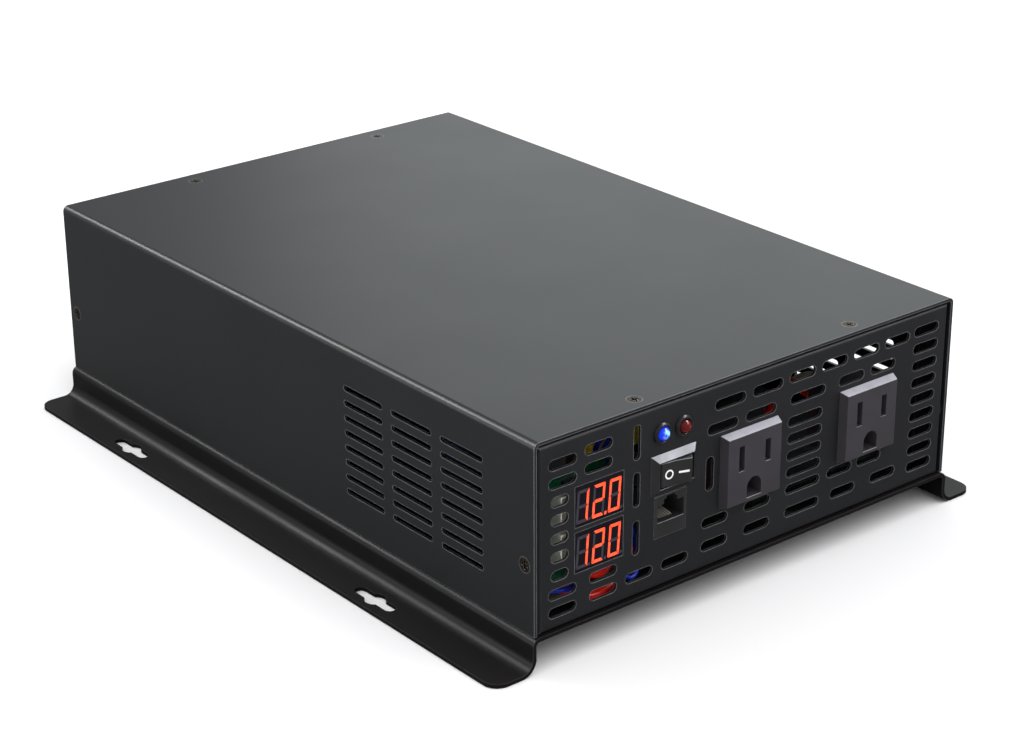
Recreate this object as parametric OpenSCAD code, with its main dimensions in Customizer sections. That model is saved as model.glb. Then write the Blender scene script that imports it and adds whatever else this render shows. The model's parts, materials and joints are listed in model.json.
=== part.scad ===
// Power inverter: folded steel case on a flanged base, mains outlets, meters and
// switch in front, twin fans and battery studs behind, converter boards inside.
// X runs to the right, Y to the back and Z up. The flanges stand on z = 0.

/* [Case] */
// Width across the cover's sides
case_w = 202; // [190:1:250]
// Depth of the cover, front edge to back edge
case_d = 302; // [285:1:380]
// Height of the cover above the base plate
cover_h = 71.5; // [70:0.5:90]
// Thickness of the cover's sheet
cover_t = 1.2; // [1:0.1:1.6]
// Outside radius of the cover's two long bends
cover_bend_r = 2.4; // [2:0.1:4]
// Gap between an end panel and the cover around it
panel_gap = 1; // [0.6:0.1:1.5]
// Thickness of the end panels' sheet
panel_t = 1.2; // [1:0.1:1.6]
// How far an end panel's face lies behind the cover's edge
panel_inset = 0.3; // [0:0.1:1]
// Depth of the returns folded round an end panel
return_d = 12; // [11:0.5:14]

/* [Base] */
// Height of the base plate's top face
base_h = 13.5; // [12.5:0.5:20]
// Thickness of the base's sheet
base_t = 1.5; // [1.2:0.1:2]
// Reach of each mounting flange beyond the cover
flange_w = 18; // [16:0.5:24]
// How far the base's walls stand outside the cover
wall_proud = 1.3; // [1:0.1:1.6]
// Inside radius of the bend from wall to flange
flange_bend_r = 4.5; // [3:0.5:6]
// Radius of the flanges' four outer corners
flange_corner_r = 6; // [2:0.5:8]
// How far the base reaches past the cover at each end
base_lap = 1; // [0:0.5:2]

/* [Mounting slots] */
// Distance between the two rows of slots
slot_rows = 225; // [224:0.5:226]
// Distance between the two slots of a row
slot_spacing = 165; // [120:1:200]
// Distance of the front slots from the cover's front edge
slot_front = 74.5; // [40:0.5:100]
// End-to-end length of a slot
slot_l = 22; // [16:0.5:30]
// Width of a slot
slot_w = 4.5; // [4.2:0.1:5.5]
// Diameter of the round opening in the middle of a slot
slot_eye = 8; // [7:0.1:9]

/* [Vents] */
// Height of a front slot
vent_h = 4; // [3:0.1:4.5]
// Height between the slots of the two outer columns
vent_pitch = 6.85; // [6:0.05:7.4]
// Length of a side slot
side_vent_l = 22.9; // [15:0.1:25]
// Height of a side slot
side_vent_h = 2.2; // [1.5:0.1:3]
// Distance between the columns of side slots
side_vent_col = 28.1; // [26:0.1:32]
// Distance between the rows of side slots
side_vent_row = 5.8; // [4.5:0.1:7]

/* [Outlets] */
// Width of an outlet's face where it meets the panel
outlet_w = 28; // [26:0.5:30]
// Height of an outlet's face where it meets the panel
outlet_h = 28.4; // [27:0.1:30]
// How far an outlet stands out of the panel
outlet_proud = 3.4; // [2:0.1:5]
// Distance between the two blade slots
blade_pitch = 12.7; // [12.7:0.1:12.7]

/* [Rocker switch] */
// Width of the switch's bezel
rocker_w = 21; // [20:0.5:23]
// Height of the switch's bezel
rocker_h = 15; // [14:0.5:17]
// Angle through which the rocker tips
rocker_throw = 26; // [20:1:28]

/* [Displays] */
// Width of a meter's display
display_w = 21.4; // [20:0.1:22]
// Height of a meter's display
display_h = 15; // [14:0.1:15.6]
// Depth of a meter's display
display_d = 7.2; // [6:0.1:8]

/* [Fans] */
// Side of a fan's square frame
fan_w = 60; // [60:1:60]
// Depth of a fan
fan_d = 25; // [20:1:30]
// Distance between the fan's screw holes
fan_holes = 50; // [50:1:50]
// Distance of each fan's centre from the middle
fan_x = 62; // [60:0.5:64]
// Gap between the blades and the frame
blade_gap = 1; // [0.6:0.1:2]

/* [Battery studs] */
// Diameter of a battery stud
stud_dia = 8; // [6:1:8]
// How far a stud stands out of the rear panel
stud_reach = 27; // [25:0.5:32]
// Distance between the two studs
stud_spacing = 30; // [28:1:34]

/* [Converter] */
// Height of the main board above the base plate
board_lift = 6; // [5:0.5:8]
// Thickness of the boards
board_t = 1.6; // [1.2:0.1:2]
// Height of the heat sinks
sink_h = 46; // [38:1:50]
// Length of the heat sinks
sink_l = 122; // [110:1:140]

/* [Hidden] */
$fn = 48;

fit = 0.2;            // clearance round a piece that drops into a cut-out
slip = 0.05;          // clearance round a shank, a pin or a shaft
cut = 1;              // how far a cutter runs past the face it opens

// Shell
top_z = base_h + cover_h;
ceiling_z = top_z - cover_t;
inner_w = case_w - 2 * cover_t;
pan_w = inner_w - 2 * panel_gap;
pan_h = cover_h - cover_t - panel_gap;
face_in = panel_inset + panel_t;      // inner plane of the front panel
pan_bend_r = panel_t + 0.4;
wall_x = case_w / 2 + wall_proud;
base_w = case_w + 2 * flange_w;

// Screws
m3_r = 1.5;
m3_head_r = 2.9;
side_screw_z = base_h + 25.7;
screw_in = 6.2;                       // from the cover's edge to a screw
rear_screw_in = 8;
front_screw_x = [-52, 52];
rear_screw_x = [-42, 53];
side_screw_in = 5;
base_screw_x = [-90, -25, 25, 90];
base_screw_in = 7;

// Front panel layout, from the middle and from the base plate's top
left_col_x = -89.7;
left_col_z = 6.4;
right_col_x = 87.3;
right_col_z = 7.3;
outlet_x = [-2.9, 56.3];
outlet_z = base_h + 35.3;
display_x = -72.3;
dc_display_z = base_h + 42.7;
ac_display_z = base_h + 25.7;
rocker_x = -38.8;
rocker_z = base_h + 43.5;
led_x = [-44.5, -34.6];
led_z = base_h + 58.9;
jack_x = -39.9;
jack_z = base_h + 27.3;

// Outlet
outlet_taper = 1.2;
outlet_body_w = outlet_w - 3;
outlet_body_h = outlet_h - 3;
outlet_depth = 17;
blade_z = 4.3;
ground_z = -7.9;
chamber_y = 3;                        // behind the panel's inner plane
chamber_d = 10;

// Rocker switch
rocker_bevel = 2.4;                   // slope of the bezel, seen from the front
rocker_rim = 0.2;
rocker_in_w = rocker_w - 2 * (rocker_bevel + rocker_rim);
rocker_in_h = rocker_h - 2 * (rocker_bevel + rocker_rim);
rocker_body_w = rocker_w - 1.8;
rocker_body_h = rocker_h - 2;
rocker_proud = 2;
rocker_depth = 13;
rocker_pivot = 1.6;                   // pivot behind the panel's outer plane
rocker_r = rocker_in_w / 2 - 0.3;
rocker_pin_r = 1.2;
rocker_dish = 6.5;                    // slope of each half of the rocker's face
rocker_face = 4.2;                    // from the pivot to the middle of the face
rocker_back = 4.5;

// Foremost point of the rocker: where the raised half of its face meets the round end
raised_slope = rocker_throw / 2 + rocker_dish;
raised_rise = rocker_face * cos(rocker_dish);
rocker_tip = sqrt(rocker_r ^ 2 - raised_rise ^ 2) * sin(raised_slope) + raised_rise * cos(raised_slope);
rocker_front = panel_inset + rocker_pivot - rocker_tip;

// The whole object is centred on the origin from front to back
front_reach = max(outlet_proud - panel_inset, -rocker_front);
rear_reach = stud_reach - panel_inset;
front_y = (front_reach - rear_reach - case_d) / 2;

// Remote jack
jack_w = 14.5;
jack_h = 15.8;
jack_d = 14;
jack_mouth_w = 12.2;
jack_mouth_h = 6.6;
jack_latch_w = 6.3;
jack_latch_h = 1.9;
jack_catch_w = 3.9;
jack_catch_h = 0.9;
jack_pitch = 1.02;

// LEDs
led_r = 2.5;
clip_r = 4;
clip_barrel_r = 3.1;

// Boards
board_z = base_h + board_lift;
board_top = board_z + board_t;
board_w = 186;
board_y = 16;
board_d = case_d - 56;
hole_in = 6;
meter_y = panel_inset + display_d;
meter_x = [-97, -59];
meter_z = [base_h + 13.5, base_h + 54];

// Heat sinks
sink_y = case_d - 187;
sink_x = 79;                          // mounting face, from the middle
sink_t = 4;
fin_count = 6;
fin_t = 1.6;
fin_l = 9;
package_w = 15.6;
package_h = 20;
package_d = 4.8;
package_z = 7;
package_pitch = 15.6 + 4;

// Fans
fan_z = base_h + panel_t + (pan_h - 2 * panel_t) / 2;
fan_y = case_d - face_in;             // face against the rear panel
fan_bore = fan_w / 2 - 1.5;
fan_hub = 12;
rotor_in = 1.5;                       // rotor behind the frame's outer face
rotor_d = fan_d - 7;
stud_z = fan_z;

/* ---------- shared shapes ---------- */

module on_case() { translate([0, front_y, 0]) children(); }

// A slot with round ends, lying along X
module slot_2d(l, h) {
  translate([-(l - h) / 2, -h / 2]) square([l - h, h]);
  for (s = [-1, 1]) translate([s * (l - h) / 2, 0]) circle(d = h);
}

// Cuts a flat outline through a sheet that faces Y; depth is from y = 0 both ways
module through_y(depth) { rotate([90, 0, 0]) linear_extrude(depth, center = true) children(); }

module cylinder_y(r, l) { rotate([-90, 0, 0]) cylinder(r = r, h = l); }

module cylinder_x(r, l) { rotate([0, 90, 0]) cylinder(r = r, h = l); }

// Outline with its two corners at y = 0 rounded, for a folded sheet
module folded_2d(w, d, r) {
  translate([-w / 2, r]) square([w, d - r]);
  translate([-w / 2 + r, 0]) square([w - 2 * r, d]);
  for (s = [-1, 1]) translate([s * (w / 2 - r), r]) circle(r = r);
}

module folded_block(w, h, d, r) {
  intersection() {
    linear_extrude(h) folded_2d(w, d, r);
    translate([0, 0, h / 2]) rotate([0, 90, 0]) linear_extrude(w, center = true) folded_2d(h, d, r);
  }
}

// Tray with returns on all four sides, its face at y = 0 and its foot at z = 0
module pan() {
  difference() {
    folded_block(pan_w, pan_h, return_d, pan_bend_r);
    translate([0, panel_t, panel_t])
      folded_block(pan_w - 2 * panel_t, pan_h - 2 * panel_t, return_d, pan_bend_r - panel_t);
  }
}

// Block whose front face is smaller by taper on each side, front at y = 0
module tapered_block(w, h, d, taper) {
  intersection() {
    translate([0, 0, -h / 2]) linear_extrude(h)
      polygon([[-w / 2 + taper, 0], [w / 2 - taper, 0], [w / 2, d], [-w / 2, d]]);
    translate([-w / 2, 0, 0]) rotate([90, 0, 90]) linear_extrude(w)
      polygon([[0, -h / 2 + taper], [d, -h / 2], [d, h / 2], [0, h / 2 - taper]]);
  }
}

module box_at(x, y, z) {
  translate([x[0], y[0], z[0]]) cube([x[1] - x[0], y[1] - y[0], z[1] - z[0]]);
}

// Countersunk screw with a cross recess, head up, head's top at z = 0
module flat_screw(head_d, l) {
  difference() {
    union() {
      translate([0, 0, -head_d]) cylinder(r1 = m3_r, r2 = m3_head_r, h = head_d);
      translate([0, 0, -l]) cylinder(r = m3_r, h = l - head_d + 0.01);
    }
    for (a = [0, 90]) rotate([0, 0, a]) translate([-1.7, -0.4, -0.9]) cube([3.4, 0.8, 2]);
  }
}

// Hole for that screw through a sheet whose outer face is at z = 0
module flat_screw_hole(t) {
  translate([0, 0, -t]) cylinder(r1 = m3_r + slip, r2 = m3_head_r + slip, h = t);
  translate([0, 0, -t - cut]) cylinder(r = m3_r + slip, h = cut + 0.01);
  cylinder(r = m3_head_r + slip, h = cut);
}

// Pan-head screw, underside of the head at z = 0, shank down
module pan_screw(r, head_r, head_h, l) {
  difference() {
    union() {
      cylinder(r = head_r, h = head_h);
      translate([0, 0, -l]) cylinder(r = r, h = l + 0.01);
    }
    for (a = [0, 90]) rotate([0, 0, a])
      translate([-head_r * 0.6, -0.35, head_h - 0.9]) cube([head_r * 1.2, 0.7, 2]);
  }
}

/* ---------- places of screws ---------- */

// Top screws, z up, origin on the cover's top face
module at_cover_screws() {
  for (x = front_screw_x) translate([x, screw_in, top_z]) children();
  for (x = rear_screw_x) translate([x, case_d - rear_screw_in, top_z]) children();
}

// Side screws, z outwards, origin on the cover's side face
module at_side_screws() {
  for (s = [-1, 1], y = [side_screw_in, case_d - side_screw_in])
    translate([s * case_w / 2, y, side_screw_z]) rotate([0, s * 90, 0]) children();
}

// Screws from below, z down, origin on the base plate's underside
module at_base_screws() {
  for (x = base_screw_x, y = [base_screw_in, case_d - base_screw_in])
    translate([x, y, base_h - base_t]) rotate([180, 0, 0]) children();
}

// Main board's fixing points, on the base plate's top face
module at_standoffs() {
  for (s = [-1, 1], y = [board_y + hole_in, sink_y - 10, board_y + board_d - hole_in])
    translate([s * (board_w / 2 - hole_in), y, base_h]) children();
}

/* ---------- shell ---------- */

module cover_2d(w, h, r) {
  translate([-w / 2, 0]) square([w, h - r]);
  translate([-w / 2 + r, 0]) square([w - 2 * r, h]);
  for (s = [-1, 1]) translate([s * (w / 2 - r), h - r]) circle(r = r);
}

module side_vents() {
  for (c = [0 : 2], k = [0 : 7])
    translate([0, 38.4 + c * side_vent_col, base_h + 15.5 + k * side_vent_row])
      rotate([90, 0, 90]) linear_extrude(case_w + 2 * cut, center = true)
        slot_2d(side_vent_l, side_vent_h);
}

module top_cover() on_case() color("#2b2e30") difference() {
  translate([0, case_d, base_h]) rotate([90, 0, 0]) linear_extrude(case_d) difference() {
    cover_2d(case_w, cover_h, cover_bend_r);
    translate([0, -cut]) cover_2d(inner_w, cover_h - cover_t + cut, cover_bend_r - cover_t);
  }
  side_vents();
  at_cover_screws() flat_screw_hole(cover_t);
  at_side_screws() flat_screw_hole(cover_t);
}

// Half of the base's section: plate, wall and flange of one side
module base_half_2d() {
  r = base_t;                              // inside radius of the upper bend
  square_x = wall_x - base_t - r;
  foot_x = wall_x + flange_bend_r;
  translate([0, base_h - base_t]) square([square_x, base_t]);
  intersection() {
    translate([square_x, base_h - base_t - r]) difference() { circle(r = r + base_t); circle(r = r); }
    translate([square_x, base_h - base_t - r]) square(r + base_t);
  }
  translate([wall_x - base_t, base_t + flange_bend_r])
    square([base_t, base_h - base_t - r - base_t - flange_bend_r]);
  intersection() {
    translate([foot_x, base_t + flange_bend_r])
      difference() { circle(r = flange_bend_r + base_t); circle(r = flange_bend_r); }
    translate([wall_x - base_t, 0]) square(flange_bend_r + base_t);
  }
  translate([foot_x, 0]) square([base_w / 2 - foot_x, base_t]);
}

module mounting_slots() {
  for (s = [-1, 1], y = [slot_front, slot_front + slot_spacing])
    translate([s * slot_rows / 2, y, -cut]) linear_extrude(base_t + 2 * cut) {
      rotate(90) slot_2d(slot_l, slot_w);
      circle(d = slot_eye);
    }
}

module corner_cut(r) {
  difference() {
    translate([0, 0, -cut]) cube([r + cut, r + cut, base_t + 2 * cut]);
    translate([0, 0, -2 * cut]) cylinder(r = r, h = base_t + 4 * cut);
  }
}

module base_plate() on_case() color("#1b1b1c") difference() {
  translate([0, case_d + base_lap, 0]) rotate([90, 0, 0]) linear_extrude(case_d + 2 * base_lap)
    for (s = [0, 1]) mirror([s, 0]) base_half_2d();
  mounting_slots();
  for (s = [0, 1]) mirror([s, 0, 0]) {
    translate([base_w / 2 - flange_corner_r, case_d + base_lap - flange_corner_r, 0])
      corner_cut(flange_corner_r);
    translate([base_w / 2 - flange_corner_r, flange_corner_r - base_lap, 0])
      mirror([0, 1, 0]) corner_cut(flange_corner_r);
  }
  at_base_screws() flat_screw_hole(base_t);
  translate([0, case_d - 30, base_h - base_t - cut]) cylinder(r = 2 + slip, h = base_t + 2 * cut);
}

// Raised seats that bridge the gap to the cover round each screw
module screw_seats(x_list, y_in) {
  seat_r = 3.6;
  for (x = x_list) translate([x, y_in, ceiling_z - panel_gap]) cylinder(r = seat_r, h = panel_gap);
  for (s = [-1, 1]) translate([s * pan_w / 2, side_screw_in, side_screw_z])
    rotate([0, s * 90, 0]) cylinder(r = seat_r, h = panel_gap);
}

module seat_holes(x_list, y_in) {
  for (x = x_list) translate([x, y_in, ceiling_z - 2 * panel_gap - panel_t - cut])
    cylinder(r = m3_r + slip, h = 2 * panel_gap + panel_t + 2 * cut);
  for (s = [-1, 1]) translate([s * (inner_w / 2 - panel_gap - panel_t - cut), side_screw_in, side_screw_z])
    rotate([0, s * 90, 0]) cylinder(r = m3_r + slip, h = panel_gap + panel_t + 2 * cut);
  for (x = base_screw_x) translate([x, base_screw_in, base_h - cut])
    cylinder(r = m3_r + slip, h = panel_t + 2 * cut);
}

module blank_panel(x_list, y_in) {
  difference() {
    union() {
      translate([0, panel_inset, base_h]) pan();
      screw_seats(x_list, y_in);
    }
    seat_holes(x_list, y_in);
  }
}

module vent_at(x, z, l) { translate([x, base_h + z]) slot_2d(l, vent_h); }

module front_vents_2d() {
  for (k = [0 : 8]) {
    short = k > 1 && k < 7;
    vent_at(left_col_x + (short ? 0 : 1.2), left_col_z + k * vent_pitch, short ? 7.6 : 12.3);
    vent_at(right_col_x, right_col_z + k * vent_pitch, 13.2);
  }
  for (z = [55.4, 62.3]) vent_at(-72.8, z, 12.3);
  for (z = [7.1, 13.9]) vent_at(-70.3, z, 12.3);
  for (x = [-54, -37.4]) vent_at(x, 8, 12.5);
  for (z = [8.7, 17.7]) {
    vent_at(-18.6, z, 12.6);
    vent_at(2.2, z, 12.8);
  }
  for (x = [-12.4, 5.8]) vent_at(x, 61.6, 14.7);
  for (x = [22.9, 39.2, 55.5, 71.8]) vent_at(x, 61.8, 13);
  vent_at(-15.7, 53, 14.6);
  vent_at(2.7, 53, 14.8);
  vent_at(26, 53.2, 17.6);
  for (x = [48.2, 64.7]) vent_at(x, 53.4, 13);
  for (z = [9, 18, 24.7, 31.4, 38, 44.6]) vent_at(25, z, 17.4);
  vent_at(44, 18.1, 13);
  vent_at(59.5, 18.1, 12.6);
  vent_at(46.2, 9, 12.8);
  vent_at(67.5, 9, 13.4);
  for (z = [22.7, 40.9, 58.5]) translate([-55.7, base_h + z]) rotate(90) slot_2d(13, 3.1);
  translate([-21.5, base_h + 36.5]) rotate(90) slot_2d(13.1, 3.8);
}

module rect_2d(x, z, w, h) { translate([x - w / 2, z - h / 2]) square([w, h]); }

module front_cutouts_2d() {
  for (x = outlet_x) rect_2d(x, outlet_z, outlet_body_w + 2 * fit, outlet_body_h + 2 * fit);
  for (z = [dc_display_z, ac_display_z]) rect_2d(display_x, z, display_w + fit, display_h + fit);
  rect_2d(rocker_x, rocker_z, rocker_body_w + 2 * fit, rocker_body_h + 2 * fit);
  rect_2d(jack_x, jack_z, jack_w + fit, jack_h + fit);
  for (x = led_x) translate([x, led_z]) circle(r = clip_barrel_r + slip);
}

module front_panel() on_case() color("#28292b") difference() {
  blank_panel(front_screw_x, screw_in);
  translate([0, face_in - panel_t / 2, 0]) through_y(panel_t + 2 * cut) front_vents_2d();
  translate([0, face_in - panel_t / 2, 0]) through_y(panel_t + 2 * cut) front_cutouts_2d();
}

module at_fan_holes() {
  for (i = [-1, 1], j = [-1, 1]) translate([i * fan_holes / 2, 0, j * fan_holes / 2]) children();
}

module at_fans() { for (s = [-1, 1]) translate([s * fan_x, fan_y, fan_z]) children(); }

module rear_panel() on_case() color("#28292b") difference() {
  translate([0, case_d, 0]) mirror([0, 1, 0]) blank_panel(rear_screw_x, rear_screw_in);
  at_fans() {
    translate([0, -cut, 0]) cylinder_y(fan_bore - 0.5, panel_t + 2 * cut);
    at_fan_holes() translate([0, -cut, 0]) cylinder_y(2 + slip, panel_t + 2 * cut);
  }
  for (s = [-1, 1]) translate([s * stud_spacing / 2, fan_y - cut, stud_z])
    cylinder_y(stud_collar_r + slip, panel_t + 2 * cut);
}

module cover_screws() on_case() color("#2a2420") at_cover_screws() flat_screw(cover_t, 5.8);

module side_screws() on_case() color("#2a2420") at_side_screws() flat_screw(cover_t, 5.8);

module base_screws() on_case() color("#2a2420") at_base_screws() flat_screw(base_t, 5.4);

/* ---------- mains outlets ---------- */

// Ground opening: flat foot and arched top
module ground_2d(w, h) {
  translate([-w / 2, -h / 2]) square([w, h - w / 2]);
  translate([0, h / 2 - w / 2]) circle(d = w);
}

module ac_outlet(x) {
  translate([x, 0, outlet_z]) difference() {
    union() {
      translate([0, panel_inset - outlet_proud, 0])
        tapered_block(outlet_w, outlet_h, outlet_proud, outlet_taper);
      translate([-outlet_body_w / 2, panel_inset - 0.01, -outlet_body_h / 2])
        cube([outlet_body_w, outlet_depth, outlet_body_h]);
    }
    for (s = [-1, 1]) {
      h = s < 0 ? 9.6 : 8.4;
      box_at([s * blade_pitch / 2 - 1.3, s * blade_pitch / 2 + 1.3], [-6, face_in + chamber_y + 0.01],
        [blade_z - h / 2, blade_z + h / 2]);
      box_at([s * blade_pitch / 2 - 2.6, s * blade_pitch / 2 + 2.6],
        [face_in + chamber_y, face_in + chamber_y + chamber_d], [blade_z - 5.2, blade_z + 5.2]);
      box_at([s * blade_pitch / 2 - 0.5, s * blade_pitch / 2 + 0.5],
        [face_in + chamber_y, outlet_depth + 2], [blade_z - 3.2, blade_z + 3.2]);
    }
    translate([0, -6, ground_z]) rotate([90, 0, 0]) mirror([0, 0, 1])
      linear_extrude(6 + face_in + chamber_y + chamber_d) ground_2d(7, 7.5);
    box_at([-0.5, 0.5], [face_in + chamber_y, outlet_depth + 2], [ground_z - 3.6, ground_z + 1.6]);
  }
}

module ac_outlet_left() on_case() color("#3e3c40") ac_outlet(outlet_x[0]);

module ac_outlet_right() on_case() color("#3e3c40") ac_outlet(outlet_x[1]);

// Spring contact: two leaves, a web against the chamber's back and a tab through it
module contact(x, z, gap, h, tab_h) {
  t = 0.7;
  back = face_in + chamber_y + chamber_d;
  for (s = [-1, 1]) translate([x + s * (gap + t) / 2 - t / 2, face_in + chamber_y + 0.6, z - h / 2])
    cube([t, chamber_d - 0.6, h]);
  box_at([x - gap / 2 - t, x + gap / 2 + t], [back - t, back], [z - h / 2, z + h / 2]);
  box_at([x - 0.4, x + 0.4], [back - t / 2, panel_inset + outlet_depth + 6], [z - tab_h / 2, z + tab_h / 2]);
}

module outlet_contacts(x) {
  for (s = [-1, 1]) contact(x + s * blade_pitch / 2, outlet_z + blade_z, 1.7, 8, 6);
  contact(x, outlet_z + ground_z - 1, 5, 4.6, 5);
}

module outlet_contacts_left() on_case() color("#b8934a") outlet_contacts(outlet_x[0]);

module outlet_contacts_right() on_case() color("#b8934a") outlet_contacts(outlet_x[1]);

/* ---------- rocker switch ---------- */

module rocker_housing() on_case() color("#1d1d1e") translate([rocker_x, panel_inset, rocker_z])
  difference() {
    union() {
      translate([0, -rocker_proud, 0]) tapered_block(rocker_w, rocker_h, rocker_proud, rocker_bevel);
      translate([-rocker_body_w / 2, -0.01, -rocker_body_h / 2])
        cube([rocker_body_w, rocker_depth, rocker_body_h]);
    }
    box_at([-rocker_in_w / 2, rocker_in_w / 2], [-rocker_proud - cut, rocker_pivot + rocker_r + 0.4],
      [-rocker_in_h / 2, rocker_in_h / 2]);
    translate([0, rocker_pivot, -rocker_in_h / 2 - 0.8]) cylinder(r = rocker_pin_r + slip, h = rocker_in_h + 1.6);
    for (x = [-5, 5]) box_at([x - 0.5, x + 0.5], [0, rocker_depth + cut], [-2.5, 2.5]);
  }

// Rocker at rest, its left half pressed in: round ends about the pivot and a dished face
module rocker_button() on_case() color("#222223") translate([rocker_x, panel_inset + rocker_pivot, rocker_z]) {
  translate([0, 0, -rocker_in_h / 2 + 0.3]) rotate(-rocker_throw / 2) linear_extrude(rocker_in_h - 0.6)
    intersection() {
      circle(r = rocker_r);
      polygon([[-rocker_r, rocker_back], [-rocker_r, -rocker_face - rocker_r * tan(rocker_dish)],
        [0, -rocker_face], [rocker_r, -rocker_face - rocker_r * tan(rocker_dish)], [rocker_r, rocker_back]]);
    }
  translate([0, 0, -rocker_in_h / 2 - 0.7]) cylinder(r = rocker_pin_r, h = rocker_in_h + 1.4);
}

module rocker_terminals() on_case() color("#c8c8c4")
  for (x = [-5, 5]) translate([rocker_x + x, panel_inset, rocker_z])
    box_at([-0.4, 0.4], [rocker_pivot + rocker_r + 0.8, rocker_depth + 8], [-2.4, 2.4]);

/* ---------- indicators ---------- */

module led_clip(x) {
  translate([x, panel_inset, led_z]) difference() {
    union() {
      translate([0, -1.4, 0]) cylinder_y(clip_r, 1.4);
      cylinder_y(clip_barrel_r, 6.5);
    }
    translate([0, -2, 0]) cylinder_y(led_r + slip, 10);
  }
}

module led(x) {
  body_front = panel_inset - 0.4;
  translate([x, body_front, led_z]) {
    cylinder_y(led_r, panel_inset + 6.5 - body_front);
    intersection() {
      sphere(r = led_r);
      translate([-3, -3, -3]) cube([6, 3.01, 6]);
    }
  }
  translate([x, panel_inset + 6.5, led_z]) {
    cylinder_y(2.9, 1);
    for (s = [-1, 1]) translate([s * 1.27, 0.9, 0]) cylinder_y(0.3, 5);
  }
}

module led_clip_power() on_case() color("#1a1a1a") led_clip(led_x[0]);

module led_clip_fault() on_case() color("#1a1a1a") led_clip(led_x[1]);

module power_led() on_case() color("#1d52ff") led(led_x[0]);

module fault_led() on_case() color("#8c1414") led(led_x[1]);

/* ---------- meters ---------- */

module display(z) {
  translate([display_x - display_w / 2, panel_inset, z - display_h / 2])
    cube([display_w, display_d, display_h]);
}

module dc_display() on_case() color("#241f28") display(dc_display_z);

module ac_display() on_case() color("#241f28") display(ac_display_z);

module meter_board() on_case() color("#0f5c3c") difference() {
  box_at(meter_x, [meter_y, meter_y + board_t], meter_z);
  for (x = [meter_x[0] + 3, meter_x[1] - 3], z = [meter_z[0] + 3, meter_z[1] - 3])
    translate([x, meter_y - cut, z]) cylinder_y(1.3, board_t + 2 * cut);
}

module meter_header() on_case() color("#e8e6dc") {
  x0 = display_x - display_w / 2 - 4.4;
  for (z = [base_h + 20.5, base_h + 34.5]) difference() {
    box_at([x0, x0 + 3.6], [meter_y - 5, meter_y], [z, z + 12.5]);
    box_at([x0 + 0.7, x0 + 2.9], [meter_y - 5 - cut, meter_y - 1.2], [z + 0.7, z + 11.8]);
  }
}

module meter_chips() on_case() color("#202022")
  for (p = [[-88, 18], [-72, 20], [-72, 38], [-88, 40]])
    box_at([p[0], p[0] + 9], [meter_y + board_t, meter_y + board_t + 1.6], [base_h + p[1], base_h + p[1] + 7]);

/* ---------- remote jack ---------- */

module remote_jack() on_case() color("#262628") translate([jack_x, panel_inset, jack_z]) difference() {
  translate([-jack_w / 2, -0.3, -jack_h / 2]) cube([jack_w, jack_d, jack_h]);
  translate([-jack_mouth_w / 2, -cut, -2.2]) cube([jack_mouth_w, jack_d - 2.5, jack_mouth_h]);
  translate([-jack_latch_w / 2, -cut, jack_mouth_h - 2.3]) cube([jack_latch_w, jack_d - 4, jack_latch_h + 0.1]);
  translate([-jack_catch_w / 2, -cut, jack_mouth_h - 2.3 + jack_latch_h])
    cube([jack_catch_w, jack_d - 4, jack_catch_h + 0.1]);
}

module jack_contacts() on_case() color("#c9a34e")
  for (k = [0 : 5]) translate([jack_x + (k - 2.5) * jack_pitch, panel_inset, jack_z - 2.2]) {
    translate([-0.2, 2, 0]) cube([0.4, jack_d - 5.6, 0.4]);
    translate([-0.2, jack_d - 4.5, 0]) cube([0.4, 0.4, 4.2]);
  }

/* ---------- main board and what it carries ---------- */

module main_board() on_case() color("#0f5c3c") difference() {
  translate([-board_w / 2, board_y, board_z]) cube([board_w, board_d, board_t]);
  at_standoffs() cylinder(r = m3_r + slip, h = 20);
}

module board_standoffs() on_case() color("#c9a34e") at_standoffs() difference() {
  cylinder(r = 3, h = board_lift);
  translate([0, 0, -cut]) cylinder(r = m3_r + slip, h = board_lift + 2 * cut);
}

module board_screws() on_case() color("#b9b9b5") at_standoffs()
  translate([0, 0, board_lift + board_t]) pan_screw(m3_r, 2.8, 2, 6);

module insulating_sheet() on_case() color("#d9d2b8") difference() {
  translate([-board_w / 2, board_y, base_h]) cube([board_w, board_d, 0.5]);
  at_standoffs() translate([0, 0, -cut]) cylinder(r = 3.2, h = 4);
}

// Extrusion: mounting plate with fins towards the case's side
module heatsink() {
  box_at([sink_x, sink_x + sink_t], [sink_y, sink_y + sink_l], [board_top, board_top + sink_h]);
  for (k = [0 : fin_count - 1]) {
    z = board_top + k * (sink_h - fin_t) / (fin_count - 1);
    box_at([sink_x + sink_t - 0.01, sink_x + sink_t + fin_l], [sink_y, sink_y + sink_l], [z, z + fin_t]);
  }
}

module sink_tapped() {
  difference() {
    heatsink();
    at_clamp_screws() translate([-cut, 0, 0]) cylinder_x(m3_r + slip, sink_t + cut);
  }
}

module heatsink_right() on_case() color("#9a9da0") sink_tapped();

module heatsink_left() on_case() color("#9a9da0") mirror([1, 0, 0]) sink_tapped();

package_count = floor((sink_l - 4) / package_pitch);
function package_y(k) = sink_y + 4 + k * package_pitch;

module transistor(y) {
  box_at([sink_x - package_d, sink_x], [y, y + package_w], [board_top + package_z, board_top + package_z + package_h]);
  for (k = [-1, 0, 1]) box_at([sink_x - 2.8, sink_x - 2], [y + package_w / 2 + k * 5.4 - 0.6, y + package_w / 2 + k * 5.4 + 0.6],
    [board_top, board_top + package_z + 0.01]);
}

module output_transistors() on_case() color("#1c1c1e")
  for (k = [0 : package_count - 1]) transistor(package_y(k));

module input_transistors() on_case() color("#1c1c1e") mirror([1, 0, 0])
  for (k = [0 : package_count - 1]) transistor(package_y(k));

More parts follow.
